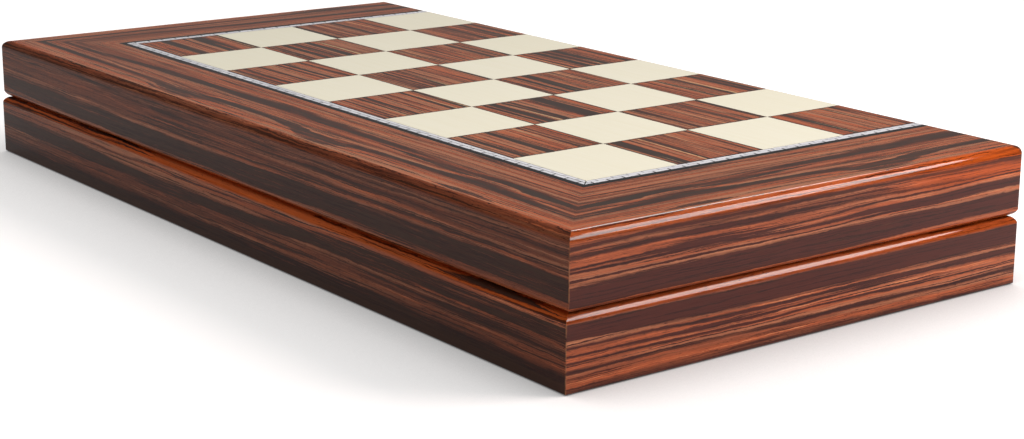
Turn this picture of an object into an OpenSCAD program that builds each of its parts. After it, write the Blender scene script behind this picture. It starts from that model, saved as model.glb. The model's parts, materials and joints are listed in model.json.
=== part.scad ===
// Folding backgammon case with half a chessboard in marquetry on each outer face.
// Two shallow trays close face to face and turn on brass butt hinges along the back.
// X runs along the case, Y from the front to the hinges and Z up. The origin is under
// the middle of the closed case, on the surface that it stands on.

/* [Chess field] */
// Side of one chess square
square = 46.5; // [40:0.5:52]
// Width of the veneer border along the front, from the face to the field
front_border = 54.5; // [46:0.5:62]
// Mean width of the borders at the two short ends, from the face to the field
end_border = 54; // [46:0.5:62]
// How far the field sits off the middle of the length, towards the left end below 0
field_shift = -4.5; // [-6:0.5:6]
// What the row of squares along the hinges gives up to the fold
fold_loss = 1.5; // [0:0.1:3]

/* [Inlay band] */
// Width of the band of pale bricks round the field
brick_band = 4.8; // [3:0.2:7]
// Number of bricks along one chess square in each of the two courses
bricks_per_square = 6; // [4:1:8]
// Thickness of a brick
brick_t = 0.6; // [0.4:0.1:0.7]
// Width of the open joints between the bricks
brick_joint = 0.35; // [0.2:0.05:0.5]
// Width of the dark line outside the bricks
line_w = 1.2; // [0.6:0.1:2]

/* [Trays] */
// Height of one tray, which is half of the closed case
tray_h = 29.5; // [26:0.5:34]
// Thickness of the rails round each tray
rail_t = 12; // [11:0.5:14]
// Thickness of the core board that carries the veneers
core_t = 5; // [4:0.5:7]
// How far the core board runs into the rebate of the rails
rebate_w = 6; // [4:0.5:7]
// Thickness of the veneers on both sides of the core board
veneer_t = 1; // [0.8:0.1:1.5]
// How far the front of the lid stands back from the front of the base
lid_setback = 1; // [0.5:0.1:2]

/* [Edges] */
// Radius of the lid's outer edges at the front and at the two ends
edge_r = 4; // [2:0.1:5]
// Radius of the base's outer edges at the front and at the two ends
foot_r = 1; // [0.5:0.1:3]
// Radius of the outer edges on the hinge side, where the two half fields meet
hinge_edge_r = 1; // [0.5:0.1:2]
// Radius of the rim edges, which leave a groove round the closed case
rim_r = 4; // [1:0.1:4.3]
// Radius of the inner edge of the rim
inner_r = 1; // [0.5:0.1:1.5]
// Radius of the four upright corners
corner_r = 0.6; // [0.3:0.1:1.5]

/* [Playing field] */
// Length of a point, from the end rail to its tip
point_l = 186; // [150:1:195]
// Bare ground between the feet of neighbouring points
point_gap = 1; // [0.5:0.1:3]
// Width of a point's blunt tip
point_tip = 0.8; // [0.4:0.1:2]

/* [Checkers and dice] */
// Play between two checkers that lie on neighbouring points
checker_play = 2; // [1:0.1:4]
// Thickness of a checker
checker_t = 9; // [7:0.5:10]
// Radius of a checker's outer edges
checker_edge = 1.6; // [1:0.1:2.5]
// Radius of the turned groove on both faces of a checker
groove_r = 0.9; // [0.5:0.1:1.2]
// Width of the turned hollow in the middle of a checker
hollow_w = 15; // [10:0.5:18]
// Depth of that hollow
hollow_d = 0.8; // [0.4:0.1:1.2]
// Air between the two checkers of a stack
checker_gap = 0.05; // [0.02:0.01:0.2]
// Side of a die
die_w = 13; // [10:0.5:15]
// Diameter of a pip
pip_d = 2.4; // [1.6:0.1:2.6]
// Depth of a pip
pip_depth = 0.7; // [0.4:0.1:1]

/* [Hinges] */
// Length of a hinge
hinge_l = 50; // [40:1:60]
// Distance from the end of the case to the middle of a hinge
hinge_inset = 100; // [60:1:140]
// Radius of the hinge barrel
knuckle_r = 2.5; // [2:0.1:3]
// Radius of the hinge pin
pin_r = 1.1; // [0.8:0.05:1.3]
// Width of a hinge leaf, measured from the pin
leaf_w = 10; // [8.5:0.1:10.5]
// Thickness of a hinge leaf
leaf_t = 1.2; // [1:0.1:1.5]
// Half of the gap between the two trays when they lie open
axis_out = 0.3; // [0.2:0.05:0.8]
// Length of a hinge screw
screw_l = 9; // [6:0.5:12]
// Radius of a screw's shank
screw_r = 0.9; // [0.7:0.05:1]
// Radius of a screw's countersunk head
screw_head_r = 1.8; // [1.5:0.05:2]
// Width and depth of the slot in a screw's head
slot_w = 0.4; // [0.3:0.05:0.5]

/* [Magnets] */
// Diameter of a closing magnet
magnet_d = 5; // [3:0.5:5]
// Thickness of a magnet
magnet_t = 3; // [2:0.5:4]
// Distance from the end of the case to a magnet
magnet_inset = 60; // [40:1:120]
// How far a magnet sits behind the middle of the front rim
magnet_back = 1; // [0.8:0.1:1.2]

/* [Clearances] */
// Glue line between neighbouring veneers of one kind
glue_line = 0.1; // [0.05:0.01:0.2]
// Gap round the core board, the playing field and the leaves in their seats
seat_gap = 0.1; // [0.05:0.05:0.3]
// Running clearance of a hinge pin in its knuckles
pin_gap = 0.05; // [0.02:0.01:0.1]
// Gap between neighbouring knuckles
knuckle_gap = 0.3; // [0.2:0.05:0.5]
// Room round a knuckle in the wood and in the other leaf
barrel_gap = 0.3; // [0.2:0.05:0.6]
// Gap round a screw and a magnet in their holes
hole_gap = 0.05; // [0.02:0.01:0.1]
// How far screw heads and magnets lie below the surface round them
sunk = 0.1; // [0.05:0.01:0.2]

/* [Hidden] */
// One outer face carries half of a chessboard, and one tray a quarter of the points at each end
COLUMNS = 8;
ROWS = 4;
POINTS = 6;
KNUCKLES = 5;
HINGE_SCREWS = 3;
CHECKERS = 15;
LAYERS = 2;
// Size of the sphere that turns off a die's corners, in sides
DIE_ROUND = 0.7;
// Places of the two dice, in points from the left end rail and from the back rail
DICE = [[1.5, 3.4], [1.65, 4.4]];
DICE_TURNS = [20, 53];
// What a cut runs past the faces that it opens
past = 1;
$fn = 64;

case_l = COLUMNS * square + 2 * end_border;
case_h = 2 * tray_h;
lid_d = ROWS * square + front_border - fold_loss;
base_d = lid_d + lid_setback;
back_y = (base_d - axis_out - knuckle_r) / 2;
base_front = back_y - base_d;
lid_front = back_y - lid_d;
axis_y = back_y + axis_out;
field_x = field_shift - COLUMNS * square / 2;
field_end = field_x + COLUMNS * square;
field_y = back_y + fold_loss - ROWS * square;
veneer_back = back_y - hinge_edge_r;
inlay_w = brick_band + line_w;
floor_z = 2 * veneer_t + core_t;
inner_l = case_l - 2 * rail_t;
inner_back = back_y - rail_t;
pitch = (lid_d - 2 * rail_t) / POINTS;
checker_r = (pitch - checker_play) / 2;
hinge_xs = [hinge_inset - case_l / 2, case_l / 2 - hinge_inset];
magnet_xs = [magnet_inset - case_l / 2, case_l / 2 - magnet_inset];
knuckle_step = hinge_l / KNUCKLES;
leaf_mid = (leaf_w + knuckle_r) / 2;
magnet_in = rail_t / 2 + magnet_back;

WOOD = "#8a4f33";
PALE = "#efe9d2";
DARK = "#5a3a2c";
BRASS = "#c9a24a";

// Every piece of a tray is drawn with its outer face down, as the base lies.
// The lid is the same tray turned over on top of the base.
module as_lid() {
    translate([0, 0, case_h]) mirror([0, 0, 1]) children();
}

// Section of a rail. The first axis runs in from the outer face, the second up from
// the tray's outer side, where a rebate takes the core board.
module rail_section(low_r) {
    difference() {
        union() {
            translate([low_r, 0]) square([rail_t - low_r, low_r]);
            translate([0, low_r]) square([rail_t, tray_h - low_r - rim_r]);
            translate([rim_r, tray_h - rim_r]) square([rail_t - rim_r - inner_r, rim_r]);
            translate([rail_t - inner_r - past, tray_h - rim_r])
                square([inner_r + past, rim_r - inner_r]);
            translate([low_r, low_r]) circle(low_r);
            translate([rim_r, tray_h - rim_r]) circle(rim_r);
            translate([rail_t - inner_r, tray_h - inner_r]) circle(inner_r);
        }
        translate([rail_t - rebate_w, -past]) square([rebate_w + past, veneer_t + core_t + past]);
    }
}

module rail_bar(length, low_r) {
    translate([-length / 2, 0, 0]) rotate([90, 0, 90]) linear_extrude(length) rail_section(low_r);
}

// Plan of a tray with its upright corners slightly rounded
module tray_plan(front_y) {
    inner_x = case_l / 2 - corner_r;
    translate([-inner_x, front_y]) square([2 * inner_x, back_y - front_y]);
    translate([-case_l / 2, front_y + corner_r])
        square([case_l, back_y - front_y - 2 * corner_r]);
    for (x = [-inner_x, inner_x], y = [front_y + corner_r, back_y - corner_r])
        translate([x, y]) circle(corner_r);
}

// Plan of a bar along the long side, mitred at both ends. dir is 1 when it runs in
// from the front and -1 when it runs in from the back.
module long_mitre(y, dir) {
    in = rail_t + past;
    x = case_l / 2;
    polygon([[-x, y], [x, y], [x - in, y + dir * in], [in - x, y + dir * in]]);
}

module end_mitre(front_y, side) {
    in = rail_t + past;
    x = side * case_l / 2;
    polygon([[x, front_y], [x, back_y], [x - side * in, back_y - in], [x - side * in, front_y + in]]);
}

// A rail: a bar cut to its mitres, with a step that takes the veneers
module mitred(front_y, low_r) {
    difference() {
        intersection() {
            children(0);
            linear_extrude(tray_h) intersection() {
                tray_plan(front_y);
                children(1);
            }
        }
        translate([low_r - case_l / 2, front_y + low_r, -past])
            cube([case_l - 2 * low_r, veneer_back - front_y - low_r, veneer_t + past]);
    }
}

module front_rail(front_y, low_r) {
    color(WOOD) difference() {
        mitred(front_y, low_r) {
            translate([0, front_y, 0]) rail_bar(case_l, low_r);
            long_mitre(front_y, 1);
        }
        for (x = magnet_xs) translate([x, magnet_y(), tray_h - sunk - magnet_t])
            cylinder(h = magnet_t + past, r = magnet_d / 2 + hole_gap);
    }
}

// The magnets of both trays stand above each other, so both are placed from the lid
function magnet_y() = lid_front + magnet_in;

// Outline of a tray seen from the hinge side, with the round edges of its two ends
module end_outline(low_r) {
    x = case_l / 2 - low_r;
    translate([-case_l / 2, low_r]) square([case_l, tray_h - low_r]);
    translate([-x, 0]) square([2 * x, low_r]);
    for (s = [-x, x]) translate([s, low_r]) circle(low_r);
}

module back_rail(front_y, low_r) {
    color(WOOD) difference() {
        mitred(front_y, low_r) {
            intersection() {
                translate([0, back_y, 0]) rotate([0, 0, 180]) rail_bar(case_l, hinge_edge_r);
                translate([0, back_y + past, 0]) rotate([90, 0, 0])
                    linear_extrude(rail_t + 2 * past) end_outline(low_r);
            }
            long_mitre(back_y, -1);
        }
        for (x = hinge_xs) translate([x, axis_y, tray_h]) {
            translate([-hinge_l / 2 - seat_gap, -leaf_w - seat_gap, -leaf_t])
                cube([hinge_l + 2 * seat_gap, leaf_w + past, leaf_t + past]);
            barrel_cut(hinge_l + 2 * seat_gap);
            for (s = screw_spots()) translate([s, -leaf_mid, -screw_l])
                cylinder(h = screw_l + past, r = screw_r + hole_gap, $fn = 24);
        }
    }
}

module end_rail(front_y, low_r, side) {
    depth = back_y - front_y;
    color(WOOD) mitred(front_y, low_r) {
        translate([side * case_l / 2, back_y - depth / 2, 0])
            rotate([0, 0, side * 90]) rail_bar(depth, low_r);
        end_mitre(front_y, side);
    }
}

// Core board, glued up into the rebate of the four rails
module core(front_y) {
    in = rail_t - rebate_w + seat_gap;
    color("tan") translate([in - case_l / 2, front_y + in, veneer_t])
        cube([case_l - 2 * in, back_y - front_y - 2 * in, core_t]);
}

// Border veneers, mitred from the corners of the flat face to the corners of the inlay
module front_border_veneer(front_y, low_r) {
    x = case_l / 2 - low_r;
    color(WOOD) linear_extrude(veneer_t) polygon([
        [-x, front_y + low_r], [x, front_y + low_r],
        [field_end + inlay_w, field_y - inlay_w], [field_x - inlay_w, field_y - inlay_w]
    ]);
}

module end_border_veneer(front_y, low_r, side) {
    outer = side * (case_l / 2 - low_r);
    inner = side < 0 ? field_x - inlay_w : field_end + inlay_w;
    color(WOOD) linear_extrude(veneer_t) polygon([
        [outer, front_y + low_r], [outer, veneer_back],
        [inner, veneer_back], [inner, field_y - inlay_w]
    ]);
}

// Squares of one colour. The row on the hinge side gives up the fold and the eased edge,
// and the colours run on across the fold when the case lies open.
module squares(parity) {
    for (i = [0 : COLUMNS - 1], j = [0 : ROWS - 1]) if ((i + j) % 2 == parity) {
        depth = square - (j == ROWS - 1 ? fold_loss + hinge_edge_r : 0);
        translate([field_x + i * square + glue_line / 2, field_y + j * square + glue_line / 2, 0])
            cube([square - glue_line, depth - glue_line, veneer_t]);
    }
}

// Plans of the three arms of a band that lies from near to far outside the field.
// They are mitred at 45 degrees and kept apart by the gap.
module band_front(near, far, gap) {
    polygon([
        [field_x - near + gap, field_y - near], [field_end + near - gap, field_y - near],
        [field_end + far - gap, field_y - far], [field_x - far + gap, field_y - far]
    ]);
}

module band_end(side, near, far, gap) {
    x = side < 0 ? field_x : field_end;
    polygon([
        [x + side * near, field_y - near + gap], [x + side * far, field_y - far + gap],
        [x + side * far, veneer_back], [x + side * near, veneer_back]
    ]);
}

// Dark strip under the bricks, which shows as a line outside them
module line_inlay() {
    color("#2b1f1c") for (arm = [-1, 0, 1]) {
        translate([0, 0, brick_t]) linear_extrude(veneer_t - brick_t)
            band_arm(arm, 0, inlay_w, glue_line);
        linear_extrude(brick_t) band_arm(arm, brick_band, inlay_w, glue_line);
    }
}

module band_arm(arm, near, far, gap) {
    if (arm == 0) band_front(near, far, gap);
    else band_end(arm, near, far, gap);
}

// Two courses of bricks in half bond, laid along each arm and cut to its mitres
module brick_inlay() {
    step = square / bricks_per_square;
    course = brick_band / 2;
    long_count = (COLUMNS + 2) * bricks_per_square;
    color("#dfe3e4") linear_extrude(brick_t) for (row = [0, 1], arm = [-1, 0, 1]) {
        near = row * course + brick_joint / 2;
        far = near + course - brick_joint;
        start = ((1 - row) / 2 - bricks_per_square) * step + brick_joint / 2;
        intersection() {
            band_arm(arm, near, far, brick_joint);
            for (n = [0 : long_count]) translate(brick_corner(arm, start + n * step, near, far))
                square(arm == 0 ? [step - brick_joint, far - near] : [far - near, step - brick_joint]);
        }
    }
}

// Low corner of the brick that starts at a distance along the arm
function brick_corner(arm, along, near, far) =
    arm == 0 ? [field_x + along, field_y - far]
    : arm < 0 ? [field_x - far, field_y + along]
    : [field_end + near, field_y + along];

// Plan of one point. Points are counted from the hinge side, so that both trays match.
module point_plan(side, k) {
    x = side * (inner_l / 2 - seat_gap);
    y = inner_back - (k + 0.5) * pitch;
    foot = (pitch - point_gap) / 2;
    tip = point_tip / 2;
    polygon([[x, y - foot], [x, y + foot], [x - side * point_l, y + tip], [x - side * point_l, y - tip]]);
}

module playing_field(front_y) {
    color("#b98a5a") translate([0, 0, veneer_t + core_t]) linear_extrude(veneer_t) difference() {
        translate([seat_gap - inner_l / 2, front_y + rail_t + seat_gap])
            square([inner_l - 2 * seat_gap, inner_back - front_y - rail_t - 2 * seat_gap]);
        for (side = [-1, 1], k = [0 : POINTS - 1]) point_plan(side, k);
    }
}

// Points of one colour: they alternate along an end, and differ from those they face
module points(parity) {
    translate([0, 0, veneer_t + core_t]) linear_extrude(veneer_t)
        for (side = [-1, 1], k = [0 : POINTS - 1])
            if ((k + (side < 0 ? 0 : 1)) % 2 == parity) point_plan(side, k);
}

function knuckle_x(k) = (k + 0.5) * knuckle_step - hinge_l / 2;
function screw_spots() = [for (s = [0 : HINGE_SCREWS - 1])
    (s + 0.5) * hinge_l / HINGE_SCREWS - hinge_l / 2];

module lying(x, length, r) {
    translate([x - length / 2, 0, 0]) rotate([0, 90, 0]) cylinder(h = length, r = r, $fn = 48);
}

module barrel_cut(length) {
    lying(0, length, knuckle_r + barrel_gap);
}

// Leaves of one tray, let into the rim. own is the parity of the knuckles that they
// carry, and the plate is cut back round the knuckles of the other leaf.
module hinge_leaves(own) {
    color(BRASS) for (x = hinge_xs) translate([x, axis_y, tray_h]) difference() {
        union() {
            difference() {
                translate([-hinge_l / 2, -leaf_w, -leaf_t]) cube([hinge_l, leaf_w, leaf_t]);
                for (k = [0 : KNUCKLES - 1]) if (k % 2 != own)
                    lying(knuckle_x(k), knuckle_step + knuckle_gap, knuckle_r + barrel_gap);
            }
            for (k = [0 : KNUCKLES - 1]) if (k % 2 == own)
                lying(knuckle_x(k), knuckle_step - knuckle_gap, knuckle_r);
        }
        lying(0, hinge_l + 2 * past, pin_r + pin_gap);
        for (s = screw_spots()) translate([s, -leaf_mid, 0]) screw_solid(hole_gap, leaf_t + past);
    }
}

// A countersunk screw below the leaf's face, or the hole for it when it is drawn larger
module screw_solid(extra, length) {
    head_h = screw_head_r - screw_r;
    translate([0, 0, -sunk - head_h])
        cylinder(h = head_h, r1 = screw_r + extra, r2 = screw_head_r + extra, $fn = 32);
    translate([0, 0, -length]) cylinder(h = length - sunk, r = screw_r + extra, $fn = 32);
    if (extra > 0) translate([0, 0, -sunk])
        cylinder(h = sunk + past, r = screw_head_r + extra, $fn = 32);
}

module hinge_screws() {
    color(BRASS) for (x = hinge_xs, s = screw_spots())
        translate([x + s, axis_y - leaf_mid, tray_h]) difference() {
            screw_solid(0, screw_l);
            translate([-screw_head_r - past, -slot_w / 2, -sunk - slot_w])
                cube([2 * (screw_head_r + past), slot_w, slot_w + past]);
        }
}

module hinge_pins_solid() {
    color("#b08d3f") for (x = hinge_xs) translate([x, axis_y, tray_h])
        lying(0, hinge_l - knuckle_gap, pin_r);
}

module magnets() {
    color("silver") for (x = magnet_xs)
        translate([x, magnet_y(), tray_h - sunk - magnet_t])
            cylinder(h = magnet_t, d = magnet_d);
}

// A turned checker with a ring groove and a shallow hollow on both faces
module checker() {
    c = checker_edge;
    ring = (hollow_w / 2 + checker_r) / 2;
    bowl = (pow(hollow_w / 2, 2) + pow(hollow_d, 2)) / (2 * hollow_d);
    rotate_extrude($fn = 64) difference() {
        union() {
            square([checker_r - c, checker_t]);
            translate([0, c]) square([checker_r, checker_t - 2 * c]);
            for (z = [c, checker_t - c]) translate([checker_r - c, z]) circle(c, $fn = 32);
        }
        for (z = [0, checker_t]) translate([ring, z]) circle(groove_r, $fn = 24);
        translate([0, hollow_d - bowl]) circle(bowl, $fn = 256);
        translate([0, checker_t - hollow_d + bowl]) circle(bowl, $fn = 256);
    }
}

// Checkers of one side, stored in pairs at one end of the base tray. A row of stacks
// stands against the end rail, and the rest stand in a second row on the hinge side.
module checkers(side) {
    for (n = [0 : CHECKERS - 1]) {
        stack = floor(n / LAYERS);
        row = floor(stack / POINTS);
        x = inner_l / 2 - seat_gap - checker_r - row * (2 * checker_r + checker_play);
        y = inner_back - (stack % POINTS + 0.5) * pitch;
        translate([side * x, y, floor_z + (n % LAYERS) * (checker_t + checker_gap)]) checker();
    }
}

// Places of the pips on a face, in steps from its middle
function pips(n) = concat(
    n % 2 == 1 ? [[0, 0]] : [],
    n > 1 ? [[-1, -1], [1, 1]] : [],
    n > 3 ? [[-1, 1], [1, -1]] : [],
    n == 6 ? [[-1, 0], [1, 0]] : []);

// A die with its corners turned off by a sphere. Opposite faces add up to seven.
module die() {
    half = die_w / 2;
    pip_step = die_w / 4;
    turns = [[0, 0, 0], [90, 0, 0], [0, 90, 0], [0, -90, 0], [-90, 0, 0], [180, 0, 0]];
    difference() {
        intersection() {
            translate([-half, -half, -half]) cube(die_w);
            sphere(die_w * DIE_ROUND);
        }
        for (n = [1 : 6]) rotate(turns[n - 1]) for (p = pips(n))
            translate([p[0] * pip_step, p[1] * pip_step, half + pip_d / 2 - pip_depth])
                sphere(d = pip_d, $fn = 24);
    }
}

// The two dice lie in the free corner beside the light checkers
module dice_pair() {
    for (k = [0, 1])
        translate([DICE[k][0] * pitch - inner_l / 2, inner_back - DICE[k][1] * pitch,
            floor_z + die_w / 2])
            rotate([0, 0, DICE_TURNS[k]]) rotate([0, 90 * k, 0]) die();
}

core(base_front);  // base_core
front_rail(base_front, foot_r);  // base_front_rail
back_rail(base_front, foot_r);  // base_back_rail
end_rail(base_front, foot_r, -1);  // base_left_rail
end_rail(base_front, foot_r, 1);  // base_right_rail
front_border_veneer(base_front, foot_r);  // base_front_border
end_border_veneer(base_front, foot_r, -1);  // base_left_border
end_border_veneer(base_front, foot_r, 1);  // base_right_border
color(DARK) squares(1);  // base_dark_squares
color(PALE) squares(0);  // base_light_squares
line_inlay();  // base_line_inlay
brick_inlay();  // base_brick_inlay
playing_field(base_front);  // base_playing_field
color(DARK) points(1);  // base_dark_points
color(PALE) points(0);  // base_light_points
hinge_leaves(0);  // base_hinge_leaves
hinge_screws();  // base_hinge_screws
hinge_pins_solid();  // hinge_pins
magnets();  // base_magnets
color(PALE) checkers(-1);  // light_checkers
color(DARK) checkers(1);  // dark_checkers
color("ivory") dice_pair();  // dice
as_lid() core(lid_front);  // lid_core
as_lid() front_rail(lid_front, edge_r);  // lid_front_rail
as_lid() back_rail(lid_front, edge_r);  // lid_back_rail
as_lid() end_rail(lid_front, edge_r, -1);  // lid_left_rail
as_lid() end_rail(lid_front, edge_r, 1);  // lid_right_rail
as_lid() front_border_veneer(lid_front, edge_r);  // lid_front_border
as_lid() end_border_veneer(lid_front, edge_r, -1);  // lid_left_border
as_lid() end_border_veneer(lid_front, edge_r, 1);  // lid_right_border
as_lid() color(DARK) squares(0);  // lid_dark_squares
as_lid() color(PALE) squares(1);  // lid_light_squares
as_lid() line_inlay();  // lid_line_inlay
as_lid() brick_inlay();  // lid_brick_inlay
as_lid() playing_field(lid_front);  // lid_playing_field
as_lid() color(DARK) points(0);  // lid_dark_points
as_lid() color(PALE) points(1);  // lid_light_points
as_lid() hinge_leaves(1);  // lid_hinge_leaves
as_lid() hinge_screws();  // lid_hinge_screws
as_lid() magnets();  // lid_magnets
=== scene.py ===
"""Visible pieces, finishes and studio of a folding backgammon case, laid out as an add-on."""
import json
import math

import bmesh
import bpy
from bpy.props import FloatProperty, FloatVectorProperty, IntProperty, PointerProperty
from mathutils import Matrix, Vector


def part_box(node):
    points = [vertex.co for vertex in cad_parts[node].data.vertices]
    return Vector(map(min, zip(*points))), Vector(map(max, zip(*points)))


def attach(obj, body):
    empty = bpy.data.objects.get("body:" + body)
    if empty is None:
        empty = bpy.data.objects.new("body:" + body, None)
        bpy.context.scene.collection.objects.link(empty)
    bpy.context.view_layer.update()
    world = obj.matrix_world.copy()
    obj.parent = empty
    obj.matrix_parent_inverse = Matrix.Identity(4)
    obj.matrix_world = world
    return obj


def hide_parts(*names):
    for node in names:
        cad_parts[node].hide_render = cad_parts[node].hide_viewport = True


bl_info = {
    "name": "Folding backgammon case",
    "version": (1, 0, 0),
    "blender": (4, 5, 0),
    "location": "3D View > Sidebar > Case",
    "description": "Dresses the packed model of a folding case with its rails, inlays and lacquer",
    "category": "Object",
}

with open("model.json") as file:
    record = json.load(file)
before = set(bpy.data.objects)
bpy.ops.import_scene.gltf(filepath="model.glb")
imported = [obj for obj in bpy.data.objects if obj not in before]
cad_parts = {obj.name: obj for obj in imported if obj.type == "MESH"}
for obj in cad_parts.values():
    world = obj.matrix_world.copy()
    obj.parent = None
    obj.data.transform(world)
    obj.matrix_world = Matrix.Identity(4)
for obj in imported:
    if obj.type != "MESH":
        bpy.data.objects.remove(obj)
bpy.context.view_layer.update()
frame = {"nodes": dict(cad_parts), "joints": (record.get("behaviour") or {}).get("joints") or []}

MM = 0.001
TO_MM = 1000.0
# What a cut runs past the face that it opens
PAST = 2.0 * MM
BOX = {name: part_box(name) for name in frame["nodes"]}
TRAYS = ("base", "lid")
# Bricks along one square, and the width of one of the two courses in mm
BRICKS = 6
COURSE = 2.4

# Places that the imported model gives
HALF_L = BOX["base_right_rail"][1].x
FRONT = {tray: BOX[tray + "_front_rail"][0].y for tray in TRAYS}
BACK = BOX["base_back_rail"][1].y
RAIL_T = BACK - BOX["base_back_rail"][0].y
TRAY_H = BOX["base_front_rail"][1].z
CASE_H = BOX["lid_front_rail"][1].z
VENEER_T = BOX["base_front_border"][1].z
CORE_T = BOX["base_core"][1].z - BOX["base_core"][0].z
FIELD_X = min(BOX["lid_dark_squares"][0].x, BOX["lid_light_squares"][0].x)
FIELD_END = max(BOX["lid_dark_squares"][1].x, BOX["lid_light_squares"][1].x)
FIELD_Y = min(BOX["lid_dark_squares"][0].y, BOX["lid_light_squares"][0].y)
SQUARE = (FIELD_END - FIELD_X) / 8
AXIS_Y, AXIS_Z = frame["joints"][0]["pos_m"][1:3]
FLOOR_Z = BOX["base_playing_field"][1].z
# From one point of the board to the next
PITCH = (BACK - FRONT["lid"] - 2 * RAIL_T) / 6


def linear(text):
    """A colour written as six hexadecimal digits, as linear red, green and blue."""
    parts = [int(text[k:k + 2], 16) / 255 for k in (0, 2, 4)]
    return tuple(c / 12.92 if c <= 0.04045 else ((c + 0.055) / 1.055) ** 2.4 for c in parts)


def length(name, description, value):
    return FloatProperty(name=name, description=description, default=value, min=0.0,
                         unit="LENGTH", precision=5)


def colour(name, description, text):
    return FloatVectorProperty(name=name, description=description, default=linear(text),
                               size=3, min=0.0, max=1.0, subtype="COLOR")


def number(name, description, value, low=0.0):
    return FloatProperty(name=name, description=description, default=value, min=low)


class CaseSizes(bpy.types.PropertyGroup):
    """Sizes of the rails and the loose pieces"""
    edge: length("Lid edge", "Radius of the lid's edges at the front and the ends", 4.0 * MM)
    foot: length("Base edge", "Radius of the base's edges at the front and the ends", 1.0 * MM)
    hinge_edge: length("Hinge edge", "Radius of the outer edge on the hinge side", 1.0 * MM)
    rim: length("Rim edge", "Radius of the rim's outer edge", 4.0 * MM)
    inner: length("Inner edge", "Radius of the rim's inner edge", 1.0 * MM)
    corner: length("Corner", "Radius of the upright corners", 0.6 * MM)
    rebate: length("Rebate", "How far the core board runs into the rails", 6.0 * MM)
    steps: IntProperty(name="Steps", description="Facets in the round of an edge", default=10,
                       min=2)


class HingeSizes(bpy.types.PropertyGroup):
    """Sizes of the brass hinges and their screws"""
    plate_l: length("Length", "Length of a hinge", 50.0 * MM)
    plate_w: length("Leaf width", "Width of a leaf, from the pin", 10.0 * MM)
    plate_t: length("Leaf thickness", "Thickness of a leaf", 1.2 * MM)
    barrel: length("Barrel", "Radius of the barrel", 2.5 * MM)
    pin: length("Pin", "Radius of the pin", 1.1 * MM)
    shank: length("Screw", "Radius of a screw's shank", 0.9 * MM)
    head: length("Screw head", "Radius of a screw's head", 1.8 * MM)
    screw_l: length("Screw length", "Length of a screw", 9.0 * MM)
    slot: length("Slot", "Width and depth of the slot in a screw", 0.4 * MM)
    sunk: length("Sunk", "Depth of heads and magnets below what is round them", 0.1 * MM)
    seat_gap: length("Seat gap", "Gap round a leaf in its seat", 0.1 * MM)
    pin_gap: length("Pin gap", "Running clearance of the pin", 0.05 * MM)
    knuckle_gap: length("Knuckle gap", "Gap between knuckles", 0.3 * MM)
    room: length("Barrel room", "Room round the barrel", 0.3 * MM)
    hole_gap: length("Hole gap", "Gap round a screw or magnet", 0.05 * MM)
    knuckles: IntProperty(name="Knuckles", description="Knuckles of one hinge", default=5, min=3)
    screws: IntProperty(name="Screws", description="Screws of one leaf", default=3, min=1)


class LooseSizes(bpy.types.PropertyGroup):
    """Sizes of the checkers and the dice"""
    thick: length("Checker thickness", "Thickness of a checker", 9.0 * MM)
    edge: length("Checker edge", "Radius of a checker's outer edges", 1.6 * MM)
    groove: length("Groove", "Radius of the turned groove", 0.9 * MM)
    hollow_w: length("Hollow width", "Width of the turned hollow", 15.0 * MM)
    hollow_d: length("Hollow depth", "Depth of the turned hollow", 0.8 * MM)
    play: length("Play", "Play between neighbouring checkers", 2.0 * MM)
    air: length("Air", "Air between the two checkers of a stack", 0.05 * MM)
    die: length("Die", "Side of a die", 13.0 * MM)
    die_round: length("Die round", "Radius of the ball that a die is cut from", 9.1 * MM)
    pip: length("Pip", "Radius of a pip's ball", 1.2 * MM)
    pip_depth: length("Pip depth", "Depth of a pip", 0.7 * MM)


class VeneerColours(bpy.types.PropertyGroup):
    """Colours of the striped veneer and the pale wood"""
    dark: colour("Dark stripe", "Colour of the dark stripes", "44291d")
    end_dark: colour("Dark stripe of the ends", "Colour of the dark stripes on the ends", "4e221a")
    top_dark: colour("Dark stripe of the top", "Colour of the dark stripes on the top", "3f3028")
    ochre: colour("Ochre", "Duller ground colour in places", "a6785a")
    pale: colour("Pale line", "Colour of the pale lines in the squares", "dcb888")
    line: colour("Fine line", "Colour of the fine dark lines", "2e1713")
    brown: colour("Brown", "Deep ground colour between the stripes", "773e28")
    orange: colour("Orange", "Lively ground colour between the stripes", "bb6039")
    streak: colour("Light streak", "Colour of the light streaks", "cd8a5e")
    # Glow is painted light: a brighter, deeper orange laid on the rails where light falls on their
    # edges and far end.
    glow: colour("Glow", "Ground colour where the wood is most lively", "b04c16")
    cream: colour("Cream", "Colour of the pale squares", "f6f4e0")
    ink: colour("Black line", "Colour of the line round the field", "1a1718")
    pearl: colour("Pearl", "Colour of the pale bricks", "e4e6ea")


class InsideColours(bpy.types.PropertyGroup):
    """Colours of the playing side, the fittings and the loose pieces"""
    ground: colour("Ground", "Colour of the playing field", "9a6a44")
    ground_deep: colour("Deep ground", "Colour of its dark grain", "6b4226")
    dark_point: colour("Dark points", "Colour of the dark points", "53271b")
    light_point: colour("Light points", "Colour of the light points", "e6d2a4")
    dark_checker: colour("Dark checkers", "Colour of the dark checkers", "5b2c1c")
    light_checker: colour("Light checkers", "Colour of the light checkers", "e2c891")
    board: colour("Core", "Colour of the core board", "c49a6c")
    brass: colour("Brass", "Colour of the hinges", "d9b765")
    plate: colour("Plating", "Colour of the magnets", "d4d4d2")
    bone: colour("Die", "Colour of the dice", "efe6cf")
    ink: colour("Pips", "Colour of the pips", "1b1917")


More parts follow.
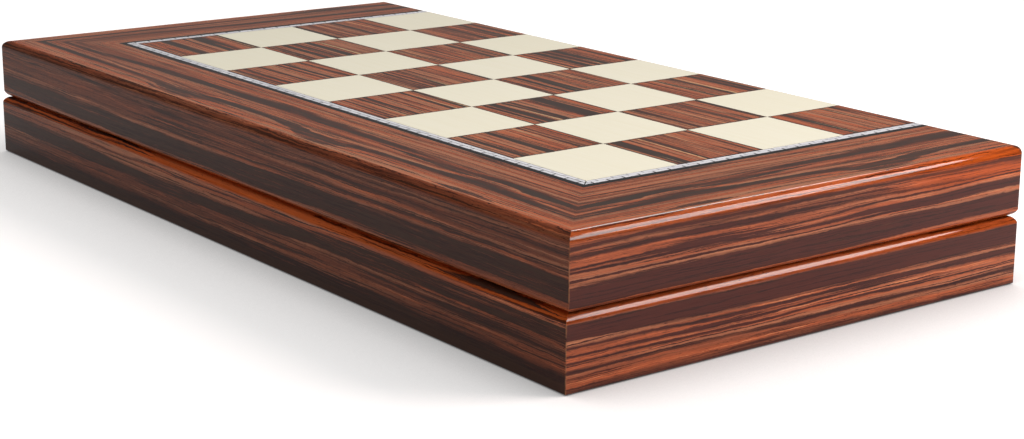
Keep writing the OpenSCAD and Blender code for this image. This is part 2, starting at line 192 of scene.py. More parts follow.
class StageSettings(bpy.types.PropertyGroup):
    """Camera and studio"""
    lens: FloatProperty(name="Lens", description="Focal length in millimetres on a 36 mm sensor",
                        default=73.099, min=1.0)
    place: FloatVectorProperty(name="Camera", description="Place of the camera", size=3,
                               default=(0.783371, -0.554403, 0.247115), unit="LENGTH")
    heading: FloatProperty(name="Heading", description="Direction of view from the X axis",
                           default=math.radians(143.033), unit="ROTATION")
    tilt: FloatProperty(name="Tilt", description="Downward tilt of the view",
                        default=math.radians(14.73), unit="ROTATION")
    roll: FloatProperty(name="Roll", description="Roll of the camera",
                        default=math.radians(-0.334), unit="ROTATION")
    right_light: number("Right light", "Power of the soft light behind on the right, in watts",
                        23.2)
    left_light: number("Left light", "Power of the soft light behind on the left, in watts", 2.1)
    top_light: number("Top light", "Power of the soft light overhead, in watts", 19.4)
    sky: number("Room", "Level of the room's light", 0.14)
    glow: number("Floor white", "Light that the floor gives to the eye by itself", 0.58)
    dusk: number("Floor shade", "How far the floor darkens right beside the case", 0.85)
    reach: length("Shade reach", "Distance at which that shade ends", 0.15)


MATH = "ShaderNodeMath"


class Value:
    """A number that varies over a surface. Expressions on it add Math nodes."""

    def __init__(self, finish, socket):
        self.finish, self.socket = finish, socket

    def math(self, operation, *others):
        return self.finish.add(MATH, {"operation": operation}, dict(enumerate((self, *others))))

    def __add__(self, other):
        return self.math("ADD", other)

    __radd__ = __add__

    def __mul__(self, other):
        return self.math("MULTIPLY", other)

    __rmul__ = __mul__

    def __sub__(self, other):
        return self.math("SUBTRACT", other)

    def __rsub__(self, other):
        return self.finish.add(MATH, {"operation": "SUBTRACT"}, {0: other, 1: self})

    def __truediv__(self, other):
        return self.math("DIVIDE", other)

    def __abs__(self):
        return self.math("ABSOLUTE")

    def floor(self):
        return self.math("FLOOR")

    def above(self, other):
        return self.math("GREATER_THAN", other)

    def greatest(self, other):
        return self.math("MAXIMUM", other)

    def step(self, low, high):
        """0 below low and 1 above high, with a smooth change between them."""
        return self.finish.add("ShaderNodeMapRange", {"interpolation_type": "SMOOTHSTEP"},
                               {0: self, 1: low, 2: high, 3: 0.0, 4: 1.0})


class Nodes:
    """A node tree whose nodes are added one by one."""

    def __init__(self, tree, output):
        self.tree = tree
        tree.nodes.clear()
        self.output = tree.nodes.new(output)

    def add(self, kind, settings=None, sockets=None, out=0):
        """A node with its settings first and then its sockets, as the value of one output."""
        node = self.tree.nodes.new(kind)
        for name, value in (settings or {}).items():
            if name == "points":
                curve = node.mapping.curves[0]
                for _ in value[2:]:
                    curve.points.new(0.0, 0.0)
                for point, place in zip(curve.points, value):
                    point.location = place
                node.mapping.update()
            elif name == "stops":
                ramp = node.color_ramp
                while len(ramp.elements) < len(value):
                    ramp.elements.new(0.0)
                for stop, (place, shade) in zip(ramp.elements, value):
                    stop.position = place
                    shade = shade if hasattr(shade, "__len__") else (shade,) * 3
                    stop.color = (*shade, 1.0)
            else:
                setattr(node, name, value)
        for name, value in (sockets or {}).items():
            if isinstance(value, Value):
                self.tree.links.new(value.socket, node.inputs[name])
            else:
                node.inputs[name].default_value = value
        return Value(self, node.outputs[out])

    def outputs(self, kind, sockets=None):
        """All outputs of one node, by name."""
        found = self.add(kind, sockets=sockets).socket.node.outputs
        return {socket.name: Value(self, socket) for socket in found}

    def end(self, surface):
        """Ends the tree in a shader."""
        self.tree.links.new(surface.socket, self.output.inputs["Surface"])


class Finish(Nodes):
    """A material for one kind of surface."""

    def __init__(self, name):
        self.material = bpy.data.materials.new(name)
        self.material.use_nodes = True
        super().__init__(self.material.node_tree, "ShaderNodeOutputMaterial")

    def place(self):
        """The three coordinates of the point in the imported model's frame."""
        point = self.outputs("ShaderNodeTexCoord")["Object"]
        return list(self.outputs("ShaderNodeSeparateXYZ", {0: point}).values())

    def place_mm(self):
        """The same coordinates in millimetres."""
        return [v * TO_MM for v in self.place()]

    def vector(self, x, y, z=0.0):
        return self.add("ShaderNodeCombineXYZ", sockets={0: x, 1: y, 2: z})

    def noise(self, x, y, z=0.0, detail=2.0, rough=0.5):
        """Noise round one half, with one feature for each unit of the coordinates."""
        return self.add("ShaderNodeTexNoise", {"noise_dimensions": "3D"},
                        {"Vector": self.vector(x, y, z), "Scale": 1.0, "Detail": detail,
                         "Roughness": rough})

    def chance(self, x, y, z=0.0):
        """A random number for each whole step of the coordinates."""
        return self.add("ShaderNodeTexWhiteNoise", {"noise_dimensions": "3D"},
                        {"Vector": self.vector(x, y, z)})

    def mix(self, share, first, second):
        first, second = (c if isinstance(c, Value) else (*c, 1.0) for c in (first, second))
        return self.add("ShaderNodeMix", {"data_type": "RGBA"}, {0: share, 6: first, 7: second},
                        out=2)

    def blend(self, share, first, second):
        """A number between two others."""
        return self.add("ShaderNodeMix", {"data_type": "FLOAT"}, {0: share, 2: first, 3: second})

    def ramp(self, share, stops):
        return self.add("ShaderNodeValToRGB", {"stops": stops}, {0: share})

    def curve(self, place, points):
        """A smooth curve through points (along, value), for a place in the units of along."""
        low, high = points[0][0], points[-1][0]
        values = [value for _, value in points]
        bottom, top = min(values) - 1.0, max(values) + 1.0
        scaled = [((x - low) / (high - low), (y - bottom) / (top - bottom)) for x, y in points]
        curve = self.add("ShaderNodeFloatCurve", {"points": scaled},
                         {1: (place - low) * (1.0 / (high - low))})
        return curve * (top - bottom) + bottom

    def shade(self, base, **sockets):
        """Ends the finish in one surface shader."""
        self.end(self.add("ShaderNodeBsdfPrincipled", sockets={"Base Color": base, **sockets}))
        return self.material


def times(tone, factors):
    """A colour with its parts multiplied by their own factors, or by one factor for all."""
    if not hasattr(factors, "__len__"):
        factors = (factors,) * 3
    return tuple(v * k for v, k in zip(tone, factors))


LACQUER = {"Coat Weight": 1.0, "Coat Roughness": 0.045, "Coat IOR": 1.35,
           "Roughness": 0.45, "Specular IOR Level": 0.0}


def colours():
    return bpy.context.scene.veneer_colours


def inside():
    return bpy.context.scene.inside_colours


def fittings():
    return bpy.context.scene.hinge_sizes


def loose():
    return bpy.context.scene.loose_sizes


def sizes():
    return bpy.context.scene.case_sizes


# Tones of the striped veneer, from its near-black bands to its light streaks
INK, LINE, SHADE, BROWN, WARM, ORANGE, STREAK = 0.0, 0.14, 0.3, 0.46, 0.62, 0.78, 0.9

# Stripes of the veneers: tone, softness, and places (along, middle, half width) in mm.
# On the sides along is X or Y and the middle is the height above the table.
FRONT_STRIPES = (
    (SHADE, 0.6, ((-240, 57, 2), (-160, 54.5, 1.5), (-90, 52, 1), (0, 50.2, 0.8), (160, 50.6, 0.8),
      (240, 52.2, 1))),
    (ORANGE, 0.7, ((-30, 48.3, 0), (0, 48.3, 0.5), (40, 47.8, 0.4), (100, 47.4, 1.2), (140, 47, 1),
      (230, 47.2, 0.4), (240, 47, 0))),
    (WARM, 0.7, ((-200, 49.6, 0), (-160, 49.6, 0.5), (-120, 49.2, 0.3), (-90, 47.6, 0.4),
      (-20, 47, 0.3))),
    (LINE, 0.5, ((-90, 46.6, 0), (-40, 46.1, 0.35), (40, 46.2, 0.35), (95, 45.4, 0.6),
      (120, 45.1, 0.8), (150, 45.5, 0.4), (240, 46.2, 0.3))),
    (LINE, 0.5, ((-100, 43.6, 0), (-50, 43.4, 0.35), (0, 43.6, 0.35), (60, 44.1, 0.3),
      (100, 44.6, 0.2), (150, 44.8, 0.3), (240, 45, 0.2))),
    (ORANGE, 0.6, ((-240, 44.6, 0.3), (-180, 44.1, 0.7), (-120, 42.9, 0.6), (-90, 42, 0.8),
      (-40, 41.7, 0.8), (40, 42.4, 0.7), (110, 43.4, 0.9), (150, 43.7, 0.6), (240, 43.8, 0.7))),
    (INK, 0.25, ((-240, 38.5, 2.5), (-160, 37.5, 4), (-90, 37, 4.1), (0, 37.2, 4), (60, 37.5, 4.1),
      (120, 38, 4.2), (240, 38.4, 4.1))),
    (SHADE, 0.8, ((20, 40, 0), (50, 40, 0.5), (110, 39.5, 0.4), (160, 39.6, 0.3),
      (240, 39.6, 0.2))),
    (SHADE, 0.8, ((-120, 36.8, 0), (-40, 36.8, 0.8), (30, 38, 0.5), (70, 37.8, 0.5),
      (130, 38.2, 0.4), (200, 38.6, 0.3), (240, 38.6, 0))),
    (WARM, 0.7, ((-240, 32.4, 0.5), (-100, 32.4, 0.7), (-30, 32.2, 0.6), (30, 32, 0.4),
      (100, 33.2, 1), (160, 33.4, 1.1), (240, 32.8, 0.9))),
    (INK, 0.4, ((-240, 29.4, 0.4), (-160, 29.3, 0.4), (-60, 29, 0.1), (-40, 29, 0))),
    (INK, 0.4, ((-240, 27.9, 0.4), (-160, 27.8, 0.5), (-90, 27.9, 0.3), (-70, 28, 0))),
    (INK, 0.5, ((100, 28.2, 0), (125, 28.1, 0.25), (150, 28.3, 0.1), (172, 28.5, 0.6),
      (195, 28.9, 1), (212, 28.7, 0.7), (226, 28.3, 0.2), (240, 28.2, 0))),
    (ORANGE, 0.6, ((-170, 24.6, 0), (-100, 25, 1.2), (-40, 25.2, 1), (20, 26, 0.9), (90, 26, 1.2),
      (150, 25.3, 1.4), (240, 25.2, 0.9))),
    (LINE, 0.5, ((-150, 23.1, 0), (-90, 23.6, 0.4), (-66, 24.4, 0.35), (-40, 23.6, 0.35),
      (0, 24.4, 0.35), (40, 25.1, 0.3), (90, 26.6, 0.2), (110, 27, 0))),
    (ORANGE, 0.6, ((-170, 21.4, 0), (-120, 22, 0.5), (-60, 22.6, 0.5), (0, 22.8, 0.5),
      (50, 23.7, 0.3), (80, 24.2, 0))),
    (WARM, 0.7, ((-190, 19.6, 0), (-150, 20, 0.5), (-60, 20.4, 0.5), (20, 21, 0.5),
      (50, 21.5, 0))),
    (INK, 0.35, ((-240, 18, 3), (-160, 17.4, 3.2), (-80, 17, 2.2), (0, 17.2, 2.3), (40, 19, 2.6),
      (90, 21.2, 3.1), (160, 22, 3), (240, 21.8, 3))),
    (WARM, 0.7, ((20, 15.5, 0), (60, 16.6, 0.4), (110, 17.4, 0.4), (190, 18.8, 0.5),
      (240, 18, 0.5))),
    (LINE, 0.7, ((100, 14.6, 0), (150, 15, 0.6), (190, 15.6, 1.4), (240, 15.2, 1.3))),
    (WARM, 0.8, ((-20, 8.6, 0), (40, 9.6, 0.6), (90, 11.3, 0.9), (150, 12, 0.6),
      (240, 12.4, 0.5))),
    (SHADE, 0.8, ((-60, 5.6, 0), (0, 5.6, 0.5), (120, 6.6, 0.5), (240, 6.8, 0.6))),
)
END_STRIPES = (
    (WARM, 0.7, ((-122, 55.2, 1.4), (-60, 56.6, 0.9), (0, 56.8, 1.2), (60, 56.9, 1),
      (120, 57.3, 1.6))),
    (LINE, 0.6, ((-122, 53.3, 0.5), (-90, 54.1, 0.5), (-60, 54.9, 0.8), (0, 54.7, 0.9),
      (40, 54.6, 0.5), (80, 54.8, 0.7), (120, 54.2, 0.9))),
    (ORANGE, 0.6, ((-122, 52, 0.3), (-95, 52.5, 0.35), (-60, 52.2, 0.15), (-40, 52.3, 0.4),
      (-10, 53.2, 0.5), (40, 52.9, 0.8), (70, 52, 1.4), (120, 51.9, 1.6))),
    (LINE, 0.7, ((-122, 50.4, 0.8), (-80, 50.6, 0.8), (-40, 50.9, 1), (0, 50.8, 0.5),
      (40, 50.6, 0.2), (80, 50.4, 0))),
    (ORANGE, 0.5, ((-122, 48, 1.6), (-70, 48.4, 1.4), (-20, 48.2, 1.2), (40, 49.2, 0.9),
      (120, 50, 1))),
    (INK, 0.5, ((-122, 46, 0.35), (-80, 46.7, 0.35), (-60, 46.5, 0.6), (-30, 46, 0.4),
      (0, 46.4, 0.35), (20, 47.4, 0.35), (40, 48, 0.35), (80, 48.3, 0.3), (120, 48.9, 0.35))),
    (STREAK, 0.5, ((-60, 44.6, 0), (-35, 44.9, 0.4), (-15, 45.3, 0.7), (10, 46, 0.6),
      (40, 46.9, 0.7), (80, 47.2, 0.8), (120, 47.6, 0.8))),
    (INK, 0.5, ((-122, 44.6, 0.4), (-80, 44.9, 0.5), (-55, 45.4, 0.7), (-35, 44.5, 0.5),
      (0, 44, 0.5), (40, 44.9, 1), (80, 44.9, 1.3), (120, 44.7, 1.6))),
    (ORANGE, 0.5, ((-122, 43, 1), (-90, 43.4, 0.7), (-65, 43.9, 0.6), (-40, 43.2, 0.5),
      (-20, 43, 0))),
    (INK, 0.5, ((-122, 41.2, 0.35), (-80, 41.9, 0.4), (-40, 41.9, 0.4), (0, 41.9, 0.3),
      (40, 42.9, 0.5), (120, 43.6, 0.4))),
    (STREAK, 0.5, ((-122, 40.1, 0.5), (-70, 41.1, 0.3), (-20, 41.2, 0.25), (20, 41.4, 0.35),
      (60, 42.3, 0.3), (120, 42, 0.6))),
    (INK, 0.18, ((-122, 35, 4), (-90, 35.6, 4.3), (-40, 36, 4.3), (30, 36.2, 4.2), (70, 36.8, 3.6),
      (120, 37.2, 3.7))),
    (ORANGE, 0.5, ((-122, 31.2, 0.2), (0, 31.4, 0.3), (60, 31.8, 0.8), (120, 32, 1))),
    (BROWN, 0.7, ((-122, 27, 1), (0, 27, 0.8), (120, 27.4, 0.9))),
    (INK, 0.18, ((-122, 23, 2.9), (-80, 22.4, 3.3), (-40, 22, 3.7), (40, 22.3, 3.6),
      (120, 22.4, 3.5))),
    (ORANGE, 0.5, ((-122, 19, 0.9), (-90, 18.4, 0.6), (-70, 17.6, 0.3), (0, 16.9, 0.35),
      (60, 17, 0.6), (120, 17.4, 0.9))),
    (INK, 0.5, ((-122, 17.3, 0.35), (-80, 16.9, 0.35), (-50, 16, 0.6), (0, 15.9, 0.5),
      (40, 15.6, 0.8), (120, 15.1, 1.3))),
    (ORANGE, 0.5, ((-122, 15.8, 0.8), (-80, 15.3, 0.7), (-50, 14.8, 0.3), (-20, 14.8, 0.2),
      (0, 14.9, 0))),
    (INK, 0.5, ((-122, 14.4, 0.35), (-90, 13.9, 0.4), (-50, 13.4, 0.5), (-20, 13.2, 0.5),
      (10, 13.8, 0.4), (40, 14, 0.3), (60, 14, 0))),
    (STREAK, 0.5, ((-122, 13, 0.5), (-80, 12.6, 0.35), (-40, 12.2, 0.3), (0, 12.5, 0.7),
      (40, 12.5, 0.9), (120, 12.1, 1.2))),
    (INK, 0.5, ((-122, 11.8, 0.3), (-70, 11.4, 0.4), (-20, 11.1, 0.4), (20, 11.2, 0.3),
      (60, 10.5, 0.3), (120, 10.6, 0.2))),
    (ORANGE, 0.6, ((-60, 10, 0), (-20, 10.1, 0.4), (20, 10.2, 0.5), (60, 9.3, 0.3),
      (120, 9.2, 0.6))),
    (LINE, 0.6, ((-122, 8.4, 0.6), (-60, 8.1, 0.6), (0, 7.4, 0.8), (60, 7, 0.7), (120, 6.8, 0.6))),
    (ORANGE, 0.9, ((-122, 3.6, 1), (-40, 4.4, 0.8), (40, 3.6, 1), (120, 3.4, 2))),
)
# On the borders along runs on round the corner and the middle is measured from the field.
BORDER_STRIPES = (
    (SHADE, 0.7, ((-110, 12.5, 0), (-85, 12.8, 0.7), (-60, 14, 0.9), (-38, 12.6, 0.5),
      (-20, 12, 0), (0, 12, 0.3), (20, 12.2, 0.6), (40, 14, 0.8), (60, 13.2, 0.6), (85, 12, 0.5),
      (115, 12, 0))),
    (LINE, 0.6, ((100, 9.4, 0), (118, 9.3, 0.35), (150, 10.1, 0.5), (166, 8.4, 0.4),
      (182, 9.4, 0.45), (240, 9.6, 0.45))),
    (STREAK, 0.7, ((-100, 17.5, 0), (-60, 18.6, 0.5), (-20, 17.2, 0.4), (20, 17.2, 0.8),
      (60, 18, 0.7), (100, 17.6, 0.3), (160, 17.6, 0.5), (240, 17.8, 0.3))),
    (LINE, 0.6, ((85, 19, 0), (110, 18.8, 0.4), (165, 19.2, 0.5), (200, 19.2, 0.3),
      (240, 19.4, 0.4))),
    (INK, 0.4, ((-240, 30, 0.8), (-190, 29, 1.6), (-150, 27, 2), (-110, 24.6, 2.4),
      (-70, 24.4, 2.8), (-30, 23.6, 3.2), (0, 22.6, 3.8), (30, 24, 3.1), (60, 25, 2.2),
      (95, 25.6, 1.5), (130, 27, 0.6), (150, 27.5, 0))),
    (SHADE, 0.7, ((-130, 31.6, 0), (-100, 33, 0.5), (-75, 34.4, 0.7), (-58, 35.6, 0.8),
      (-35, 33.8, 0.4), (-20, 33.6, 0))),
    (SHADE, 0.7, ((45, 33.8, 0), (65, 34, 0.8), (90, 33.4, 0.7), (115, 32.6, 0.5), (140, 32, 0))),
    (INK, 0.4, ((80, 28.8, 0), (100, 29, 0.8), (120, 29.4, 1.7), (142, 29.6, 2.4),
      (165, 28.5, 2.9), (185, 29, 2.8), (205, 30.2, 2.7), (240, 33, 2))),
    (INK, 0.35, ((-240, 38, 1), (-200, 38.4, 1.5), (-150, 39.2, 1.5), (-110, 39.8, 1.3),
      (-92, 41, 1.7), (-78, 43, 3), (-60, 43.6, 4), (-45, 41.2, 3.5), (-28, 39, 2.5), (0, 38, 2),
      (22, 38.8, 2.4), (40, 41.5, 3.4), (56, 44.6, 4.6), (66, 44.8, 4), (74, 42.6, 2.6),
      (88, 39.8, 1.9), (112, 38.4, 1.7), (140, 37.4, 2), (155, 36, 2.7), (168, 35.4, 2.9),
      (186, 36.6, 2.5), (206, 38.4, 1.9), (240, 39.4, 1.4))),
    (STREAK, 0.5, ((-240, 33.5, 0), (-170, 34, 0.4), (-135, 36.2, 0.6), (-100, 36.5, 0.5),
      (-82, 37.8, 0.5), (-65, 39.2, 0.6), (-50, 38, 0.6), (-30, 35, 0.6), (0, 34.5, 0.5),
      (20, 35.4, 0.6), (40, 37.4, 0.6), (52, 38.7, 0.6), (66, 37.6, 0.6), (82, 36.1, 0.6),
      (110, 35.6, 0.5), (132, 34.4, 0.5), (150, 32.2, 0.6), (168, 30.3, 0.9), (182, 32, 0.8),
      (202, 34.7, 0.7), (218, 36, 0.6), (240, 36.8, 0.5))),
    (LINE, 0.5, ((64, 47.4, 0), (74, 46.4, 0.7), (88, 44.8, 0.6), (102, 43.7, 0.5),
      (118, 44.2, 0.4), (130, 45, 0))),
    (LINE, 0.5, ((-130, 43.8, 0), (-110, 44.2, 0.5), (-95, 45, 0.6), (-82, 47.2, 0.8),
      (-68, 48.6, 0.8), (-55, 49, 0))),
    (INK, 0.5, ((-24, 49.3, 0), (-12, 49.3, 0.5), (0, 49.4, 0.6), (12, 49.3, 0.4), (22, 49.2, 0))),
    (INK, 0.3, ((146, 48.8, 0), (155, 48.4, 0.8), (164, 47.8, 1.6), (174, 47.8, 1.5),
      (182, 48.6, 0.8), (190, 49, 0))),
)


# Tones of the ground between the stripes. On the sides they go from the table to the top of the
# lid, and on the borders from the field outwards. The front's ground turns orange at the parting,
# a painted glow on the base's rounded rim, and darkens towards the table. The ends' ground is
# painted darker in its lowest 2 mm, a painted shade along the bottom edge.
END_GROUND = ((0, SHADE), (0.04, BROWN), (0.16, WARM), (0.3, BROWN), (0.52, BROWN), (0.56, WARM),
              (0.7, WARM), (0.8, BROWN), (0.97, BROWN), (1.0, WARM))
FRONT_GROUND = ((0, 0.1), (0.08, 0.2), (0.16, BROWN), (0.28, BROWN), (0.45, WARM), (0.5, ORANGE),
                (0.55, BROWN), (0.8, BROWN), (0.86, BROWN), (1.0, BROWN))
BORDER_GROUND = ((0.0, WARM), (0.25, WARM), (0.4, BROWN), (0.48, WARM), (0.62, BROWN),
                 (0.68, WARM), (0.8, ORANGE), (0.86, WARM))


def striped(finish, along, across, ground, plan, wear=0.0):
    """Draws the stripes of a plan over a ground tone. wear is how far the ground shows through."""
    worn = finish.noise(along * 0.012, across * 0.9, 91.0, detail=4.0, rough=0.7)
    cover = 1.0 - worn.step(0.40, 0.58) * wear
    ragged = finish.noise(along * 0.025, across * 1.1, 83.0, detail=3.0, rough=0.7)
    broken = ragged.step(0.35, 0.6) * 0.65 + 0.35
    for tone, soft, places in plan:
        middle = finish.curve(along, [(run, place) for run, place, _ in places])
        half = finish.curve(along, [(run, width) for run, _, width in places]).greatest(0.01)
        away = (abs(across - middle) / half).step(1.0 + soft, 1.0 - soft) * cover
        ground = finish.blend(away * broken if tone > BROWN else away, ground, tone)
    return ground


def swayed(finish, along, across, seed):
    """The way across the grain, swaying a little along it."""
    slow = finish.noise(along * 0.02, across * 0.12, seed, detail=2.0) - 0.5
    quick = finish.noise(along * 0.11, across * 0.5, seed + 3.0, detail=2.0) - 0.5
    ragged = finish.noise(along * 0.3, across * 1.4, seed + 9.0, detail=2.0, rough=0.6) - 0.5
    return across + slow * 1.6 + quick * 0.7 + ragged * 0.5


def veneer(finish, along, flow, tone, seed, dark, busy=0.5, glow=None, dim=0.5):
    """Colours a tone with the fibres, fine lines and pores of the striped veneer. dark is the
    colour of its bands, busy the share of fine lines, glow the share of a painted glow of light
    and dim dulls it."""
    c = colours()
    cloud = finish.noise(along * 0.008, flow * 0.3, seed + 11.0, detail=3.0, rough=0.6) - 0.5
    fibre = finish.noise(along * 0.03, flow * 2.2, seed + 23.0, detail=4.0, rough=0.7) - 0.5
    thread = finish.noise(along * 0.07, flow * 5.0, seed + 29.0, detail=2.0, rough=0.6) - 0.5
    broad = finish.noise(along * 0.006, flow * 0.5, seed + 43.0, detail=2.0)
    lines = finish.noise(along * 0.011, flow * 1.25, seed + 51.0, detail=3.0, rough=0.65)
    light = finish.noise(along * 0.012, flow * 1.1, seed + 37.0, detail=3.0, rough=0.7)
    pores = finish.noise(along * 0.3, flow * 4.0, seed + 71.0, detail=1.0)
    tone = tone + (cloud * 0.4 + fibre * 0.8 + thread * 0.4) * (tone + 0.2)
    tone = tone + light.step(0.55, 0.68) * (tone * 0.3 + 0.02)
    tone = tone * (1.0 - broad.step(0.58, 0.66) * 0.3 * busy)
    tone = tone * (1.0 - lines.step(0.62 - 0.1 * busy, 0.68 - 0.08 * busy) * 0.72)
    tone = tone * (1.0 - pores.step(0.62, 0.72) * 0.4)
    deep = times(dark, 0.4)
    wood = finish.ramp(tone + 0.06, ((0.0, deep), (0.09, dark), (0.2, dark), (0.32, c.line),
                                     (0.53, c.brown), (0.85, c.orange), (1.0, c.streak)))
    dull = finish.noise(along * 0.005, flow * 0.4, seed + 97.0, detail=2.0)
    wood = finish.mix(dull.step(0.45, 0.62) * tone.step(0.3, 0.7) * dim, wood, c.ochre)
    if glow is None:
        return wood
    # The glowing ramp is the painted glow: brighter, deeper orange tones that stand in for light.
    glowing = finish.ramp(tone + 0.06, ((0.1, times(c.glow, 0.08)),
                                       (0.42, times(c.glow, 0.5)), (0.62, c.glow),
                                       (1.0, times(c.glow, 1.3))))
    return finish.mix(glow, wood, glowing)


def lacquered(finish, base, **others):
    return finish.shade(base, **{**LACQUER, **others})


def give(node, material):
    """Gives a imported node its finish."""
    mesh = frame["nodes"][node].data
    if not mesh.materials:
        mesh.materials.append(material)
    for k in range(len(mesh.materials)):
        mesh.materials[k] = material


def new_piece(name, shape, body, material, nodes):
    """Makes an object of a finished bmesh, hangs it on the body that it rides on and hides the
    nodes that it stands for.
    """
    mesh = bpy.data.meshes.new(name)
    shape.to_mesh(mesh)
    shape.free()
    mesh.materials.append(material)
    piece = bpy.data.objects.new(name, mesh)
    bpy.context.scene.collection.objects.link(piece)
    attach(piece, body)
    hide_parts(*nodes)
    return piece


def settle(piece):
    """Takes what a piece's modifiers make of it into its mesh."""
    bpy.context.view_layer.update()
    graph = bpy.context.evaluated_depsgraph_get()
    mesh = bpy.data.meshes.new_from_object(piece.evaluated_get(graph))
    piece.modifiers.clear()
    piece.data = mesh


def smooth(piece, angle=math.radians(32)):
    """Rounds the shading of curved faces and keeps the flat ones flat."""
    for face in piece.data.polygons:
        face.use_smooth = True
    piece.data.set_sharp_from_angle(angle=angle)
    level = piece.modifiers.new("flat faces", "WEIGHTED_NORMAL")
    level.keep_sharp = True
    level.weight = 80
    settle(piece)


def carve(piece, cutter, operation="DIFFERENCE", lining=None):
    """Cuts a bmesh out of a piece, or joins it to it. lining is the finish of the cut."""
    mesh = bpy.data.meshes.new("cutter")
    cutter.to_mesh(mesh)
    cutter.free()
    mesh.materials.append(lining or piece.data.materials[0])
    tool = bpy.data.objects.new("cutter", mesh)
    bpy.context.scene.collection.objects.link(tool)
    cut = piece.modifiers.new("cut", "BOOLEAN")
    cut.object = tool
    cut.operation = operation
    cut.solver = "EXACT"
    cut.material_mode = "TRANSFER"
    settle(piece)
    bpy.data.objects.remove(tool)


def add_box(shape, low, high):
    """Adds a block between two corners."""
    low, high = Vector(low), Vector(high)
    place = Matrix.Translation((low + high) / 2) @ Matrix.Diagonal((*(high - low), 1.0))
    bmesh.ops.create_cube(shape, size=1.0, matrix=place)


def add_rod(shape, centre, radius, depth, turn=Matrix.Identity(4), segments=48):
    """Adds a rod round a centre, along Z unless it is turned."""
    bmesh.ops.create_cone(shape, cap_ends=True, segments=segments, radius1=radius,
                          radius2=radius, depth=depth,
                          matrix=Matrix.Translation(centre) @ turn)


ALONG_X = Matrix.Rotation(math.radians(90), 4, "Y")
# How far from its centre a turned piece is looked for
LATHE_REACH = 30 * MM
# Sides that a face has to have to be the flat end of a rod
CAP_SIDES = 8
# Turns that bring the top of a die to each of its faces, from one to six
FACES = (("X", 0), ("X", 90), ("Y", 90), ("Y", -90), ("X", -90), ("X", 180))


def lathe(shape, section, centre, steps):
    """Turns a section round an upright axis and closes it at both ends."""
    line = [shape.verts.new(p) for p in section]
    edges = [shape.edges.new(pair) for pair in zip(line, line[1:])]
    bmesh.ops.spin(shape, geom=line + edges, cent=centre, axis=(0, 0, 1),
                   angle=2 * math.pi, steps=steps, use_merge=True)
    near = [v for v in shape.verts if (v.co - centre).xy.length < LATHE_REACH]
    bmesh.ops.remove_doubles(shape, verts=near, dist=1e-6)
    faces = [f for f in shape.faces if (f.calc_center_median() - centre).xy.length < LATHE_REACH]
    bmesh.ops.recalc_face_normals(shape, faces=faces)


def ease_rims(shape, radius):
    """Rounds the rims of the flat ends of rods."""
    edges = [e for e in shape.edges if any(len(f.verts) > CAP_SIDES for f in e.link_faces)]
    bmesh.ops.bevel(shape, geom=edges, offset=radius, offset_type="OFFSET", affect="EDGES",
                    segments=3, profile=0.5, material=-1)


def pips(n):
    """Places of the pips on a face, in quarters of its side."""
    return (([(0, 0)] if n % 2 else []) + ([(-1, -1), (1, 1)] if n > 1 else [])
            + ([(-1, 1), (1, -1)] if n > 3 else []) + ([(-1, 0), (1, 0)] if n == 6 else []))


def sides(tray):
    """Name of each side, its outward direction and the distance of its face from the origin."""
    return (("front", Vector((0, -1, 0)), -FRONT[tray]), ("back", Vector((0, 1, 0)), BACK),
            ("left", Vector((-1, 0, 0)), HALF_L), ("right", Vector((1, 0, 0)), HALF_L))


def rail_shape(tray, out, reach, low, high, edge):
    """A rail from its section: extruded, its long edges rounded, and mitred at both ends."""
    s = sizes()
    along = Vector((-out.y, out.x, 0))

    def spot(inward, up, run):
        height = up if tray == "base" else CASE_H - up
        return out * (reach - inward) + along * run + Vector((0, 0, height))

    seat = RAIL_T - s.rebate
    section = [(0, 0), (seat, 0), (seat, VENEER_T + CORE_T), (RAIL_T, VENEER_T + CORE_T),
               (RAIL_T, TRAY_H), (0, TRAY_H)]
    shape = bmesh.new()
    corners = [shape.verts.new(spot(u, w, low)) for u, w in section]
    outline = [shape.edges.new(pair) for pair in zip(corners, corners[1:] + corners[:1])]
    face = bmesh.ops.contextual_create(shape, geom=outline)["faces"][0]
    grown = bmesh.ops.extrude_face_region(shape, geom=[face])["geom"]
    moved = [v for v in grown if isinstance(v, bmesh.types.BMVert)]
    bmesh.ops.translate(shape, verts=moved, vec=along * (high - low))
    bmesh.ops.recalc_face_normals(shape, faces=shape.faces)
    for (u, w), radius in (((0, 0), edge), ((0, TRAY_H), s.rim), ((RAIL_T, TRAY_H), s.inner)):
        ends = [spot(u, w, low), spot(u, w, high)]
        edges = [e for e in shape.edges
                 if all(min((v.co - p).length for p in ends) < 1e-6 for v in e.verts)
                 and e.calc_length() > (high - low) / 2]
        bmesh.ops.bevel(shape, geom=edges, offset=radius, offset_type="OFFSET", affect="EDGES",
                        segments=s.steps, profile=0.5, material=-1)
    down = Vector((0, 0, -1 if tray == "base" else 1))
    for sign, run in ((-1, low), (1, high)):
        end = along * sign
        corner = out * reach + along * run
        centre = corner - (out + end) * s.corner
        planes = [(corner, end - out)]
        for angle in (11.25, 33.75):
            tilt = out * math.cos(math.radians(angle)) + end * math.sin(math.radians(angle))
            planes.append((centre + tilt * s.corner, tilt))
        if out.y > 0:
            ease = end_edge(tray)
            centre = spot(0, ease, run) - end * ease
            for k in range(s.steps):
                angle = math.radians((k + 0.5) * 90 / s.steps)
                tilt = end * math.cos(angle) + down * math.sin(angle)
                planes.append((centre + tilt * ease, tilt))
        for point, normal in planes:
            bmesh.ops.bisect_plane(
                shape, geom=shape.verts[:] + shape.edges[:] + shape.faces[:], dist=1e-7,
                plane_co=point, plane_no=normal.normalized(), clear_outer=True)
            rim = [e for e in shape.edges if e.is_boundary]
            if rim:
                bmesh.ops.edgeloop_fill(shape, edges=rim)
    bmesh.ops.recalc_face_normals(shape, faces=shape.faces)
    return shape


def end_edge(tray):
    """Radius of a tray's outer edges at the front and the ends."""
    return sizes().foot if tray == "base" else sizes().edge


